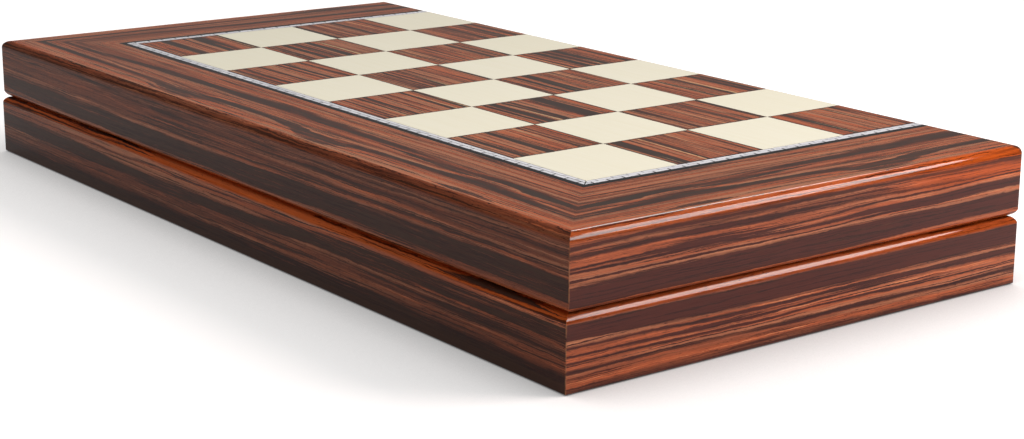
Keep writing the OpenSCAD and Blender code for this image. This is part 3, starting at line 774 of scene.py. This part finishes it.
def veneer_room(tray):
    """What the veneers take out of the outer face of the rails."""
    edge = end_edge(tray)
    heights = (-PAST, VENEER_T) if tray == "base" else (CASE_H - VENEER_T, CASE_H + PAST)
    shape = bmesh.new()
    add_box(shape, (edge - HALF_L, FRONT[tray] + edge, heights[0]),
            (HALF_L - edge, BACK - sizes().hinge_edge, heights[1]))
    return shape


def hinge_middles():
    """Middle of each hinge along the case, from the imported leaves."""
    low, high = BOX["base_hinge_leaves"]
    half = fittings().plate_l / 2
    return [low.x + half, high.x - half]


def spots(count, span):
    """Middles of equal parts of a span that is centred on 0."""
    return [(k + 0.5) * span / count - span / 2 for k in range(count)]


def screw_places():
    """Places of the screws of both hinges, on the line between the rims."""
    h = fittings()
    return [Vector((middle + x, AXIS_Y - (h.plate_w + h.barrel) / 2, AXIS_Z))
            for middle in hinge_middles() for x in spots(h.screws, h.plate_l)]


def seat_cutters(tray):
    """What the leaves, their barrels and their screws take out of a back rail."""
    h = fittings()
    turn = 1 if tray == "base" else -1
    reach = h.plate_l / 2 + h.seat_gap
    seats, rooms, shafts = bmesh.new(), bmesh.new(), bmesh.new()
    for middle in hinge_middles():
        heights = sorted((AXIS_Z - turn * h.plate_t, AXIS_Z + turn * PAST))
        add_box(seats, (middle - reach, AXIS_Y - h.plate_w - h.seat_gap, heights[0]),
                (middle + reach, AXIS_Y + PAST, heights[1]))
        add_rod(rooms, (middle, AXIS_Y, AXIS_Z), h.barrel + h.room, 2 * reach, ALONG_X)
    for place in screw_places():
        add_rod(shafts, place - Vector((0, 0, turn * (h.screw_l - PAST) / 2)),
                h.shank + h.hole_gap, h.screw_l + PAST, segments=24)
    return seats, rooms, shafts


def magnet_cutter(tray):
    low, high = BOX[tray + "_magnets"]
    radius = (high.y - low.y) / 2
    middle = (low.y + high.y) / 2
    shape = bmesh.new()
    bottom, top = (low.z, high.z + MM) if tray == "base" else (low.z - MM, high.z)
    for x in (low.x + radius, high.x - radius):
        add_rod(shape, (x, middle, (bottom + top) / 2), radius + fittings().hole_gap,
                top - bottom)
    return shape


def rail_finish(side):
    """Striped veneer of one side. The stripes lie level and run on across the parting."""
    f = Finish("striped_rail_" + side)
    x, y, z = f.place_mm()
    is_end = side in ("left", "right")
    along = y if is_end else x
    plan = END_STRIPES if is_end else FRONT_STRIPES
    far = y.step(20.0, 80.0) if is_end else None
    depth = HALF_L * TO_MM - abs(x) if is_end else 120.0 - abs(y)
    skin = depth.step(5.0, 3.5)
    height = swayed(f, along, z, {"front": 2.0, "back": 12.0, "left": 22.0, "right": 32.0}[side])
    ground = f.ramp(height * (0.5 / (TRAY_H * TO_MM)), END_GROUND if is_end else FRONT_GROUND)
    tone = striped(f, along, height, ground, plan, wear=0.45 if is_end else 0.7)
    dark = colours().end_dark if is_end else colours().dark
    glow = None
    # Painted glow of light: on the ends a brighter orange over the lid's upper part towards the
    # far end, and in the outer skin along the groove at the parting and under the lid's top edge;
    # on the front in the outer skin along the base's rounded rim.
    if is_end:
        painted_far_glow = far * height.step(46.0, 50.0)
        groove = height.step(25.5, 27.0) * height.step(34.0, 31.0)
        painted_top_glow = height.step(54.0, 56.0) * skin * 0.6
        glow = painted_far_glow.greatest(groove * skin * (far * 0.3 + 0.6)).greatest(painted_top_glow) * 0.95
    else:
        glow = height.step(26.0, 27.5) * height.step(31.0, 30.0) * skin * tone.step(0.2, 0.6) * 0.8
    wood = veneer(f, along, height, tone, 5.0, dark, 0.8, glow)
    front = f.blend(z.above(TRAY_H * TO_MM), FRONT["base"] * TO_MM, FRONT["lid"] * TO_MM)
    # Painted highlight: a paler, broken line down the two front upright corners.
    corner = (abs(x) - (HALF_L * TO_MM - 0.5)).step(0.0, 0.2) * (front + 0.5 - y).step(0.0, 0.2)
    highlight_breaks = f.noise(z * 0.35, x * 0.02, 3.0, detail=2.0)
    wood = f.mix(corner * highlight_breaks.step(0.3, 0.6) * 0.35, wood, colours().streak)
    return lacquered(f, wood, **{"Coat Weight": 0.68 if is_end else 0.38})


def border_finish(arm):
    """Border veneer. One pattern runs along all three arms and is mirrored at the mitres."""
    f = Finish("striped_border_" + arm)
    x, y, z = f.place_mm()
    inlay = -BOX["lid_line_inlay"][0].y * TO_MM + FIELD_Y * TO_MM
    width = (FIELD_Y - FRONT["lid"]) * TO_MM - inlay
    left, end, front = FIELD_X * TO_MM, FIELD_END * TO_MM, FIELD_Y * TO_MM
    if arm == "front":
        run, out = x, front - y
    else:
        wide = HALF_L * TO_MM - (end if arm == "right" else -left) - inlay
        away = x - end if arm == "right" else left - x
        out = (away - inlay) * (width / wide) + inlay
        turn = (front - y - inlay) * (wide / width) + inlay
        run = turn + end if arm == "right" else left - turn
    flow = swayed(f, run, out, 42.0)
    ground = f.ramp(out * 0.016, BORDER_GROUND)
    tone = striped(f, run, flow, ground, BORDER_STRIPES, wear=0.75)
    wood = veneer(f, run, flow, tone, 2.0, colours().top_dark, 0.7, dim=0.8)
    return lacquered(f, f.mix(out.step(inlay + 1.9, inlay + 1.4), wood, colours().ink))


def square_finish():
    """Dark squares. Each is cut from another place of the veneer, with the grain along X."""
    f = Finish("striped_squares")
    x, y, z = f.place()
    column = ((x - FIELD_X) * (1.0 / SQUARE)).floor()
    row = ((y - FIELD_Y) * (1.0 / SQUARE)).floor()
    under = (TRAY_H - z).above(0.0)
    draw = f.chance(column, row, under * 3.0)
    slant = f.chance(row, column, 5.0 + under) - 0.5
    lean = (x - FIELD_X) * (1.0 / SQUARE) - column - 0.5
    across = y * TO_MM + draw * 900.0 + slant * lean * 2.0
    along = x * TO_MM + draw * 3000.0
    flow = swayed(f, along, across, 7.0)
    broad = f.noise(along * 0.002, flow * 0.16, 17.0, detail=1.0)
    thin = f.noise(along * 0.005, flow * 0.42, 27.0, detail=2.0, rough=0.6)
    pale = f.noise(along * 0.004, flow * 0.55, 57.0, detail=1.0)
    tone = 0.70 - broad.step(0.55, 0.64) * 0.52 - thin.step(0.52, 0.62) * 0.40
    wood = veneer(f, along, flow, tone.greatest(0.03), 8.0, colours().top_dark, 0.9, dim=0.7)
    wood = f.mix(pale.step(0.68, 0.71) * 0.7, wood, colours().pale)
    side = abs((x - FIELD_X) * (1.0 / SQUARE) - column - 0.5)
    front = abs((y - FIELD_Y) * (1.0 / SQUARE) - row - 0.5)
    rim = 0.5 - 1.1 * MM / SQUARE
    glue = side.greatest(front).step(rim, rim + 0.4 * MM / SQUARE)
    return lacquered(f, f.mix(glue * 0.85, wood, colours().line))


def cream_finish():
    """Pale close-grained wood of the light squares."""
    f = Finish("cream_squares")
    x, y, z = f.place()
    column = ((x - FIELD_X) * (1.0 / SQUARE)).floor()
    row = ((y - FIELD_Y) * (1.0 / SQUARE)).floor()
    draw = f.chance(column, row, 2.0)
    grain = f.noise(x * 14.0 + draw * 40.0, y * 420.0, 1.0, detail=4.0, rough=0.6)
    cloud = f.noise(x * 25.0, y * 40.0, draw * 9.0)
    cream = colours().cream
    deep = times(cream, (0.93, 0.90, 0.80))
    share = (grain - 0.5).step(-0.2, 0.35) * 0.35 + cloud * 0.15 + draw * 0.15
    return lacquered(f, f.mix(share, cream, deep))


def brick_finish():
    """Pale pearly bricks with dark joints, each in its own tone."""
    f = Finish("pearl_bricks")
    x, y, z = f.place_mm()
    step = SQUARE * TO_MM / BRICKS
    left, right, front = (v * TO_MM for v in (FIELD_X, FIELD_END, FIELD_Y))
    out_x = (left - x).greatest(x - right)
    out_y = front - y
    is_end = out_x.above(out_y)
    out = out_x.greatest(out_y)
    along = is_end * (y - front) + (1.0 - is_end) * (x - left)
    course = (out * (1.0 / COURSE)).floor()
    place = (along - (1.0 - course) * 0.5 * step) * (1.0 / step)
    count = place.floor()
    draw = f.chance(count, course + is_end * 7.0, 4.0 + x.above(0.0) * is_end)
    inner = abs(place - count - 0.5)
    edge = abs(out * (1.0 / COURSE) - course - 0.5)
    outer = course.above(0.5)
    joint = inner.step(0.5 - 0.55 / step, 0.5 - 0.25 / step) * (outer * 0.6 + 0.3)
    between = edge.step(0.5 - 0.3 / COURSE, 0.5 - 0.12 / COURSE) * (0.5 - is_end * 0.3)
    joint = joint.greatest(between)
    cloud = f.noise(x * 0.5, y * 0.5, draw * 20.0, detail=3.0)
    c = colours()
    cool = times(c.pearl, (0.76, 0.78, 0.80))
    tone = f.mix((draw * 0.7 + cloud * 0.4 + outer * 0.3 - 0.4).step(0.0, 1.0), c.pearl, cool)
    rim = out.step(0.6, 0.3).greatest(out.step(2 * COURSE - 0.5, 2 * COURSE - 0.2)) * 0.6
    base = f.mix(joint.greatest(rim), tone, c.ink)
    return lacquered(f, base)


def line_finish():
    """Black line with the faint fibres of dyed wood."""
    f = Finish("black_line")
    x, y, z = f.place_mm()
    fibres = f.noise(x * 0.8, y * 0.8, 2.0, detail=4.0, rough=0.7)
    ink = colours().ink
    return lacquered(f, f.mix(fibres.step(0.4, 0.8), ink, times(ink, 2.2)))


def plain_wood(finish, x, y, z, deep, pale, seed):
    """Straight-grained wood with pores. The grain runs along the first coordinate, in mm."""
    sway = (finish.noise(x * 0.006, y * 0.03, seed) - 0.5) * 6.0
    rings = finish.noise(x * 0.004, (y + sway) * 0.35, z * 0.35 + seed, detail=4.0, rough=0.6)
    fibres = finish.noise(x * 0.05, y * 3.0, z * 3.0 + seed, detail=3.0, rough=0.7)
    pores = finish.noise(x * 0.25, y * 5.0, z * 5.0 + seed, detail=1.0)
    wood = finish.mix((rings * 1.2 + fibres * 0.5 - 0.35).step(0.1, 0.9), deep, pale)
    return finish.mix(pores.step(0.64, 0.75) * 0.5, wood, times(deep, 0.45))


def satin(finish, base, height=None, depth=0.02 * MM, **others):
    """Satin-varnished wood, with the pores felt in its surface."""
    sockets = {"Roughness": 0.38, "Specular IOR Level": 0.5, **others}
    if height is not None:
        sockets["Normal"] = finish.add("ShaderNodeBump",
                                       sockets={"Strength": 0.6, "Distance": depth,
                                                "Height": height})
    return finish.shade(base, **sockets)


def ground_finish():
    """Walnut of the playing field."""
    f = Finish("ground_veneer")
    x, y, z = f.place_mm()
    c = inside()
    base = plain_wood(f, x, y, 0.0, c.ground_deep, c.ground, 6.0)
    grain = f.noise(x * 0.06, y * 3.0, 4.0, detail=3.0)
    return satin(f, base, grain, Roughness=0.30 + grain * 0.12)


def point_finish(name, tone, deepen, seed):
    """Points, each cut from its own strip of veneer with the grain along it."""
    f = Finish(name)
    x, y, z = f.place_mm()
    strip = ((BACK - RAIL_T) * TO_MM - y) * (1.0 / (PITCH * TO_MM))
    draw = f.chance(strip.floor(), x.above(0.0), z.above(TRAY_H * TO_MM))
    deep = times(tone, deepen)
    base = plain_wood(f, x + draw * 500.0, y + draw * 90.0, draw * 30.0, deep, tone, seed)
    grain = f.noise(x * 0.06, y * 3.0, 4.0, detail=3.0)
    return satin(f, base, grain, Roughness=0.28 + grain * 0.12)


def core_finish():
    """Layers of the core board, with the grain of its faces."""
    f = Finish("core_board")
    x, y, z = f.place_mm()
    tone = inside().board
    plies = abs(z - z.floor() - 0.5).step(0.30, 0.40)
    deep = times(tone, 0.55)
    base = f.mix(plies * 0.5, plain_wood(f, x, y, z * 0.2, deep, tone, 3.0), deep)
    return f.shade(base, **{"Roughness": 0.7})


def brass_finish():
    """Brushed brass, a little darker where fingers don't polish it."""
    f = Finish("hinge_brass")
    x, y, z = f.place_mm()
    brush = f.noise(x * 0.3, y * 14.0, z * 14.0, detail=3.0, rough=0.7)
    cloud = f.noise(x * 0.12, y * 0.3, z * 0.3, detail=2.0)
    tone = inside().brass
    dull = times(tone, (0.62, 0.56, 0.50))
    base = f.mix(cloud.step(0.35, 0.75) * 0.6, tone, dull)
    bump = f.add("ShaderNodeBump", sockets={"Strength": 0.3, "Distance": 0.01 * MM,
                                            "Height": brush})
    return f.shade(base, **{"Metallic": 1.0, "Roughness": 0.20 + brush * 0.18, "Normal": bump})


def plated_finish():
    """Bright plating of the magnets, with fine turning marks."""
    f = Finish("plated_magnet")
    x, y, z = f.place_mm()
    marks = f.noise(x * 6.0, y * 6.0, z * 2.0, detail=2.0)
    tone = inside().plate
    base = f.mix(marks, tone, times(tone, 0.8))
    return f.shade(base, **{"Metallic": 1.0, "Roughness": 0.16 + marks * 0.12})


def checker_finish(name, tone, seed):
    """Turned wood. Each checker has its own tone, and the grain runs across it."""
    f = Finish(name)
    x, y, z = f.place_mm()
    s = loose()
    step = PITCH * TO_MM
    cell_x = ((abs(x) - ((HALF_L - RAIL_T) * TO_MM - step * 2)) * (1.0 / step)).floor()
    cell_y = (((BACK - RAIL_T) * TO_MM - y) * (1.0 / step)).floor()
    layer = (z - FLOOR_Z * TO_MM).above(s.thick * TO_MM)
    draw = f.chance(cell_x, cell_y, layer + x.above(0.0) * 3.0)
    turn = draw * 6.283
    across = x * turn.math("COSINE") + y * turn.math("SINE")
    along = y * turn.math("COSINE") - x * turn.math("SINE")
    deep = times(tone, (0.62, 0.55, 0.48))
    wood = plain_wood(f, along + draw * 400.0, across + draw * 70.0, z * 0.6, deep, tone, seed)
    base = f.mix(draw * 0.3, wood, deep)
    grain = f.noise(along * 0.08, across * 3.0, z * 3.0, detail=3.0)
    return satin(f, base, grain, Roughness=0.22 + grain * 0.12)


def bone_finish():
    """Ivory-coloured resin of the dice, faintly clouded."""
    f = Finish("ivory_die")
    x, y, z = f.place_mm()
    cloud = f.noise(x * 0.25, y * 0.25, z * 0.6, detail=3.0)
    tone = inside().bone
    base = f.mix(cloud.step(0.3, 0.8) * 0.6, tone, times(tone, (0.93, 0.88, 0.78)))
    return f.shade(base, **{"Roughness": 0.14 + cloud * 0.08, "Specular IOR Level": 0.5})


def pip_finish():
    """Black paint in the pips."""
    f = Finish("pip_paint")
    x, y, z = f.place_mm()
    grit = f.noise(x * 3.0, y * 3.0, z * 3.0, detail=2.0)
    tone = inside().ink
    return f.shade(f.mix(grit, tone, times(tone, 1.8)), **{"Roughness": 0.3 + grit * 0.2})


# Name, place and size of each lamp in metres, its roll in degrees and its colour
LAMPS = (("right_light", (0.856, 0.92, 0.911), (0.9, 0.42), 43.0, (1.0, 0.88, 0.85)),
         ("left_light", (-0.763, 0.975, 0.756), (0.48, 0.22), 0.0, (1.0, 1.0, 1.0)),
         ("top_light", (0.0, -0.1, 1.9), (1.4, 1.2), 0.0, (1.0, 1.0, 1.0)))
# Height that the lamps are aimed at
AIM_H = 0.03
# Colours of the floor: for the light that it throws back, for the eye, and of its own light
PAPER = (0.75, 0.73, 0.71, 1.0)
THIN_PAPER = (0.60, 0.588, 0.58, 1.0)
GLOW_TINT = (1.0, 0.99, 0.985, 1.0)


class CASE_OT_stage(bpy.types.Operator):
    """Lays the floor and sets up the lights and the camera"""
    bl_idname = "case.stage"
    bl_label = "Stage"

    def execute(self, context):
        s = context.scene.stage_settings
        scene = context.scene
        scene.view_settings.view_transform = "Standard"
        ground = bmesh.new()
        bmesh.ops.create_grid(ground, x_segments=1, y_segments=1, size=30.0,
                              matrix=Matrix.Translation((0, 0, -0.2 * MM)))
        mesh = bpy.data.meshes.new("floor")
        ground.to_mesh(mesh)
        ground.free()
        floor = bpy.data.objects.new("floor", mesh)
        scene.collection.objects.link(floor)
        mesh.materials.append(floor_finish(s))
        for name, place, size, roll, tint in LAMPS:
            self.light(scene, name, place, size, getattr(s, name), roll, tint)
        room(scene, s.sky)
        self.camera(scene, s)
        return {"FINISHED"}

    def light(self, scene, name, place, size, power, roll, tint):
        lamp = bpy.data.lights.new(name, "AREA")
        lamp.shape = "RECTANGLE"
        lamp.size, lamp.size_y = size
        lamp.energy = power
        lamp.color = tint
        obj = bpy.data.objects.new(name, lamp)
        aim = Vector((0, 0, AIM_H)) - Vector(place)
        turn = aim.to_track_quat("-Z", "Y").to_matrix().to_4x4()
        spin = Matrix.Rotation(math.radians(roll), 4, "Z")
        obj.matrix_world = Matrix.Translation(place) @ turn @ spin
        scene.collection.objects.link(obj)

    def camera(self, scene, s):
        data = bpy.data.cameras.new("camera")
        data.lens = s.lens
        data.sensor_width = 36.0
        data.sensor_fit = "HORIZONTAL"
        data.clip_start, data.clip_end = 0.01, 200.0
        forward = Vector((math.cos(s.heading) * math.cos(s.tilt),
                          math.sin(s.heading) * math.cos(s.tilt), -math.sin(s.tilt)))
        right = Vector((math.sin(s.heading), -math.cos(s.heading), 0.0))
        down = forward.cross(right)
        c, n = math.cos(s.roll), math.sin(s.roll)
        axes = Matrix((right * c + down * n, right * n - down * c, -forward)).transposed()
        camera = bpy.data.objects.new("camera", data)
        camera.matrix_world = Matrix.Translation(s.place) @ axes.to_4x4()
        scene.collection.objects.link(camera)
        scene.camera = camera


def floor_finish(s):
    """A pale floor that is white to the eye and keeps the shadow."""
    f = Finish("floor")
    path = f.outputs("ShaderNodeLightPath")
    seen = path["Is Camera Ray"].greatest(path["Is Glossy Ray"])
    seen = seen.greatest(path["Is Transmission Ray"])
    paper = f.add("ShaderNodeBsdfDiffuse", sockets={0: PAPER})
    thin = f.add("ShaderNodeBsdfDiffuse", sockets={0: THIN_PAPER})
    glow = f.add("ShaderNodeEmission", sockets={0: GLOW_TINT, 1: s.glow})
    lit = f.add("ShaderNodeAddShader", sockets={0: thin, 1: glow})
    # Painted shadow: the Ambient Occlusion node darkens the floor right beside the case, over the
    # lamps' own shadow.
    open_share = f.add("ShaderNodeAmbientOcclusion", {"samples": 8}, {"Distance": s.reach}, out=1)
    lit = f.add("ShaderNodeMixShader", sockets={0: (1.0 - open_share) * s.dusk, 1: lit})
    f.end(f.add("ShaderNodeMixShader", sockets={0: seen, 1: paper, 2: lit}))
    return f.material


def room(scene, level):
    """A grey room whose walls are white near the floor."""
    world = bpy.data.worlds.new("room")
    world.use_nodes = True
    scene.world = world
    f = Nodes(world.node_tree, "ShaderNodeOutputWorld")
    point = f.outputs("ShaderNodeTexCoord")["Generated"]
    rise = f.outputs("ShaderNodeSeparateXYZ", {0: point})["Z"]
    strength = 1.0 - rise.step(0.03, 0.12) * (1.0 - level)
    f.end(f.add("ShaderNodeBackground", sockets={0: (1.0, 1.0, 1.0, 1.0), 1: strength}))


class CASE_OT_rails(bpy.types.Operator):
    """Cuts, rounds and mitres the eight rails"""
    bl_idname = "case.rails"
    bl_label = "Rails"

    def execute(self, context):
        s = sizes()
        finishes = {side: rail_finish(side) for side in ("front", "back", "left", "right")}
        for tray in TRAYS:
            for side, out, reach in sides(tray):
                along = Vector((-out.y, out.x, 0))
                ends = ((-HALF_L, HALF_L) if side in ("front", "back")
                        else sorted(along.y * y for y in (FRONT[tray], BACK)))
                edge = s.hinge_edge if side == "back" else end_edge(tray)
                shape = rail_shape(tray, out, reach, ends[0], ends[1], edge)
                node = f"{tray}_{side}_rail"
                piece = new_piece(node + "_veneered", shape, tray,
                                  finishes[side], [node])
                carve(piece, veneer_room(tray))
                if side == "back":
                    for cutter in seat_cutters(tray):
                        carve(piece, cutter)
                if side == "front":
                    carve(piece, magnet_cutter(tray))
                smooth(piece)
        return {"FINISHED"}


class CASE_OT_borders(bpy.types.Operator):
    """Gives the border veneers their mirrored grain"""
    bl_idname = "case.borders"
    bl_label = "Borders"

    def execute(self, context):
        for arm in ("front", "left", "right"):
            finish = border_finish(arm)
            for tray in TRAYS:
                give(f"{tray}_{arm}_border", finish)
        return {"FINISHED"}


class CASE_OT_squares(bpy.types.Operator):
    """Gives the dark and the light squares their veneers"""
    bl_idname = "case.squares"
    bl_label = "Squares"

    def execute(self, context):
        dark, cream = square_finish(), cream_finish()
        for tray in TRAYS:
            give(tray + "_dark_squares", dark)
            give(tray + "_light_squares", cream)
        return {"FINISHED"}


class CASE_OT_inlay(bpy.types.Operator):
    """Gives the pale bricks and the black line their finishes"""
    bl_idname = "case.inlay"
    bl_label = "Inlay"

    def execute(self, context):
        bricks, line = brick_finish(), line_finish()
        for tray in TRAYS:
            give(tray + "_brick_inlay", bricks)
            give(tray + "_line_inlay", line)
        return {"FINISHED"}


class CASE_OT_field(bpy.types.Operator):
    """Gives the playing field, its points and the core boards their woods"""
    bl_idname = "case.field"
    bl_label = "Playing field"

    def execute(self, context):
        c = inside()
        woods = {"playing_field": ground_finish(), "core": core_finish(),
                 "dark_points": point_finish("dark_point", c.dark_point, (0.5, 0.45, 0.42), 12.0),
                 "light_points": point_finish("light_point", c.light_point, (0.8, 0.7, 0.55),
                                              19.0)}
        for tray in TRAYS:
            for node, wood in woods.items():
                give(f"{tray}_{node}", wood)
        return {"FINISHED"}


class CASE_OT_hinges(bpy.types.Operator):
    """Makes the knuckled leaves, the pins and the slotted screws"""
    bl_idname = "case.hinges"
    bl_label = "Hinges"

    def execute(self, context):
        h = fittings()
        brass = brass_finish()
        step = h.plate_l / h.knuckles
        for tray, own, turn in (("base", 0, 1), ("lid", 1, -1)):
            plates, rooms, barrels, holes = (bmesh.new() for _ in range(4))
            for middle in hinge_middles():
                heights = sorted((AXIS_Z - turn * h.plate_t, AXIS_Z))
                add_box(plates, (middle - h.plate_l / 2, AXIS_Y - h.plate_w, heights[0]),
                        (middle + h.plate_l / 2, AXIS_Y, heights[1]))
                for k, x in enumerate(spots(h.knuckles, h.plate_l)):
                    place = (middle + x, AXIS_Y, AXIS_Z)
                    if k % 2 == own:
                        add_rod(barrels, place, h.barrel, step - h.knuckle_gap, ALONG_X)
                    else:
                        add_rod(rooms, place, h.barrel + h.room, step + h.knuckle_gap, ALONG_X)
                add_rod(holes, (middle, AXIS_Y, AXIS_Z), h.pin + h.pin_gap,
                        h.plate_l + 2 * PAST, ALONG_X)
            for place in screw_places():
                self.screw(holes, place, turn, h.hole_gap, h.plate_t + PAST, PAST)
            ease_rims(barrels, 0.2 * MM)
            leaf = new_piece(tray + "_leaves", plates, tray, brass,
                             [tray + "_hinge_leaves"])
            carve(leaf, rooms)
            carve(leaf, barrels, "UNION")
            carve(leaf, holes)
            smooth(leaf)
            screws, slots = bmesh.new(), bmesh.new()
            for place in screw_places():
                self.screw(screws, place, turn, 0.0, h.screw_l, 0.0)
                top = place.z - turn * (h.sunk - PAST)
                heights = sorted((place.z - turn * (h.sunk + h.slot), top))
                add_box(slots, (place.x - h.head - PAST, place.y - h.slot / 2, heights[0]),
                        (place.x + h.head + PAST, place.y + h.slot / 2, heights[1]))
            driven = new_piece(tray + "_screws", screws, tray, brass,
                               [tray + "_hinge_screws"])
            carve(driven, slots)
            smooth(driven)
        pins = bmesh.new()
        for middle in hinge_middles():
            add_rod(pins, (middle, AXIS_Y, AXIS_Z), h.pin, h.plate_l - h.knuckle_gap, ALONG_X)
        ease_rims(pins, 0.3 * MM)
        smooth(new_piece("pins", pins, "base", brass, ["hinge_pins"]))
        return {"FINISHED"}

    def screw(self, shape, place, turn, extra, deep, rise):
        """A countersunk screw, or the hole for it, turned from its section."""
        h = fittings()
        head = h.head - h.shank
        section = [(0, -deep), (h.shank + extra, -deep), (h.shank + extra, -h.sunk - head),
                   (h.head + extra, -h.sunk)]
        if rise:
            section.append((h.head + extra, rise))
        section.append((0, section[-1][1]))
        lathe(shape, [place + Vector((r, 0, z * turn)) for r, z in section], place, 32)


class CASE_OT_magnets(bpy.types.Operator):
    """Makes the four closing magnets"""
    bl_idname = "case.magnets"
    bl_label = "Magnets"

    def execute(self, context):
        plating = plated_finish()
        for tray in TRAYS:
            low, high = BOX[tray + "_magnets"]
            radius = (high.y - low.y) / 2
            discs = bmesh.new()
            for x in (low.x + radius, high.x - radius):
                add_rod(discs, (x, low.y + radius, (low.z + high.z) / 2), radius, high.z - low.z)
            ease_rims(discs, 0.2 * MM)
            smooth(new_piece(tray + "_discs", discs, tray, plating,
                             [tray + "_magnets"]))
        return {"FINISHED"}


# Checkers of one colour, how many stacks of two stand in a row, and facets round one
CHECKERS = 15
COLUMN = 6
CHECKER_STEPS = 72


def checker_radius():
    return (PITCH - loose().play) / 2


class CASE_OT_checkers(bpy.types.Operator):
    """Turns the thirty checkers"""
    bl_idname = "case.checkers"
    bl_label = "Checkers"

    def execute(self, context):
        c, s = inside(), loose()
        radius = checker_radius()
        inner = HALF_L - RAIL_T - fittings().seat_gap
        for name, side, tone, seed in (("light", -1, c.light_checker, 31.0),
                                       ("dark", 1, c.dark_checker, 47.0)):
            shape = bmesh.new()
            for n in range(CHECKERS):
                row, spot = divmod(n // 2, COLUMN)
                place = Vector((side * (inner - radius - row * PITCH),
                                BACK - RAIL_T - (spot + 0.5) * PITCH,
                                FLOOR_Z + (n % 2) * (s.thick + s.air)))
                lathe(shape, [place + Vector((r, 0, z)) for r, z in self.section(s)], place,
                      CHECKER_STEPS)
            finish = checker_finish(name + "_checker", tone, seed)
            smooth(new_piece(name + "_turned", shape, "base", finish,
                             [name + "_checkers"]))
        return {"FINISHED"}

    def section(self, s):
        """Half the section of a checker, from the middle of one face to the other's."""
        radius = checker_radius()
        ring = (s.hollow_w / 2 + radius) / 2
        half = [(s.hollow_w / 2 * k / 6, s.hollow_d * (1 - (k / 6) ** 2)) for k in range(7)]
        half += [(ring - s.groove * math.cos(math.pi * k / 8),
                  s.groove * math.sin(math.pi * k / 8)) for k in range(9)]
        half += [(radius - s.edge + s.edge * math.sin(math.pi * k / 12),
                  s.edge - s.edge * math.cos(math.pi * k / 12)) for k in range(7)]
        return half + [(r, s.thick - z) for r, z in reversed(half)]


class CASE_OT_dice(bpy.types.Operator):
    """Cuts the two dice from balls and sinks their pips"""
    bl_idname = "case.dice"
    bl_label = "Dice"

    def execute(self, context):
        s = loose()
        half = s.die / 2
        shape, holes = bmesh.new(), bmesh.new()
        for k, (across, back, spin) in enumerate(((1.5, 3.4, 20), (1.65, 4.4, 53))):
            place = Matrix.Translation((across * PITCH - HALF_L + RAIL_T,
                                        BACK - RAIL_T - back * PITCH, FLOOR_Z + half))
            turn = (place @ Matrix.Rotation(math.radians(spin), 4, "Z")
                    @ Matrix.Rotation(math.radians(90 * k), 4, "Y"))
            ball = bmesh.new()
            bmesh.ops.create_uvsphere(ball, u_segments=64, v_segments=32, radius=s.die_round)
            for n, (side, face) in enumerate(FACES):
                flat = Matrix.Rotation(math.radians(face), 4, side)
                out = flat @ Vector((0, 0, 1))
                cut = bmesh.ops.bisect_plane(
                    ball, geom=ball.verts[:] + ball.edges[:] + ball.faces[:], dist=1e-7,
                    plane_co=out * half, plane_no=out, clear_outer=True)["geom_cut"]
                rim = [e for e in cut if isinstance(e, bmesh.types.BMEdge) and e.is_boundary]
                bmesh.ops.edgeloop_fill(ball, edges=rim)
                for x, y in pips(n + 1):
                    spot = Vector((x * s.die / 4, y * s.die / 4, half + s.pip - s.pip_depth))
                    bmesh.ops.create_uvsphere(holes, u_segments=24, v_segments=16, radius=s.pip,
                                              matrix=turn @ flat @ Matrix.Translation(spot))
            bmesh.ops.transform(ball, matrix=turn, verts=ball.verts)
            mesh = bpy.data.meshes.new("die")
            ball.to_mesh(mesh)
            ball.free()
            shape.from_mesh(mesh)
            bpy.data.meshes.remove(mesh)
        bmesh.ops.recalc_face_normals(shape, faces=shape.faces)
        dice = new_piece("pair_of_dice", shape, "base", bone_finish(), ["dice"])
        carve(dice, holes, lining=pip_finish())
        smooth(dice)
        return {"FINISHED"}


class CASE_PT_panel(bpy.types.Panel):
    """Lists the steps that dress the case"""
    bl_idname = "CASE_PT_panel"
    bl_label = "Folding case"
    bl_space_type = "VIEW_3D"
    bl_region_type = "UI"
    bl_category = "Case"

    def draw(self, context):
        for step in STEPS:
            self.layout.operator(step)


STEPS = ("case.stage", "case.rails", "case.borders", "case.squares", "case.inlay",
         "case.field", "case.hinges", "case.magnets", "case.checkers", "case.dice")
GROUPS = {"case_sizes": CaseSizes, "hinge_sizes": HingeSizes, "loose_sizes": LooseSizes,
          "veneer_colours": VeneerColours, "inside_colours": InsideColours,
          "stage_settings": StageSettings}
CLASSES = (*GROUPS.values(), CASE_OT_stage, CASE_OT_rails, CASE_OT_borders, CASE_OT_squares,
           CASE_OT_inlay, CASE_OT_field, CASE_OT_hinges, CASE_OT_magnets, CASE_OT_checkers,
           CASE_OT_dice, CASE_PT_panel)


def register():
    for kind in CLASSES:
        bpy.utils.register_class(kind)
    for name, group in GROUPS.items():
        setattr(bpy.types.Scene, name, PointerProperty(type=group))


def unregister():
    for name in GROUPS:
        delattr(bpy.types.Scene, name)
    for kind in reversed(CLASSES):
        bpy.utils.unregister_class(kind)


def main():
    register()
    for step in STEPS:
        group, name = step.split(".")
        getattr(getattr(bpy.ops, group), name)()


if __name__ == "__main__":
    main()
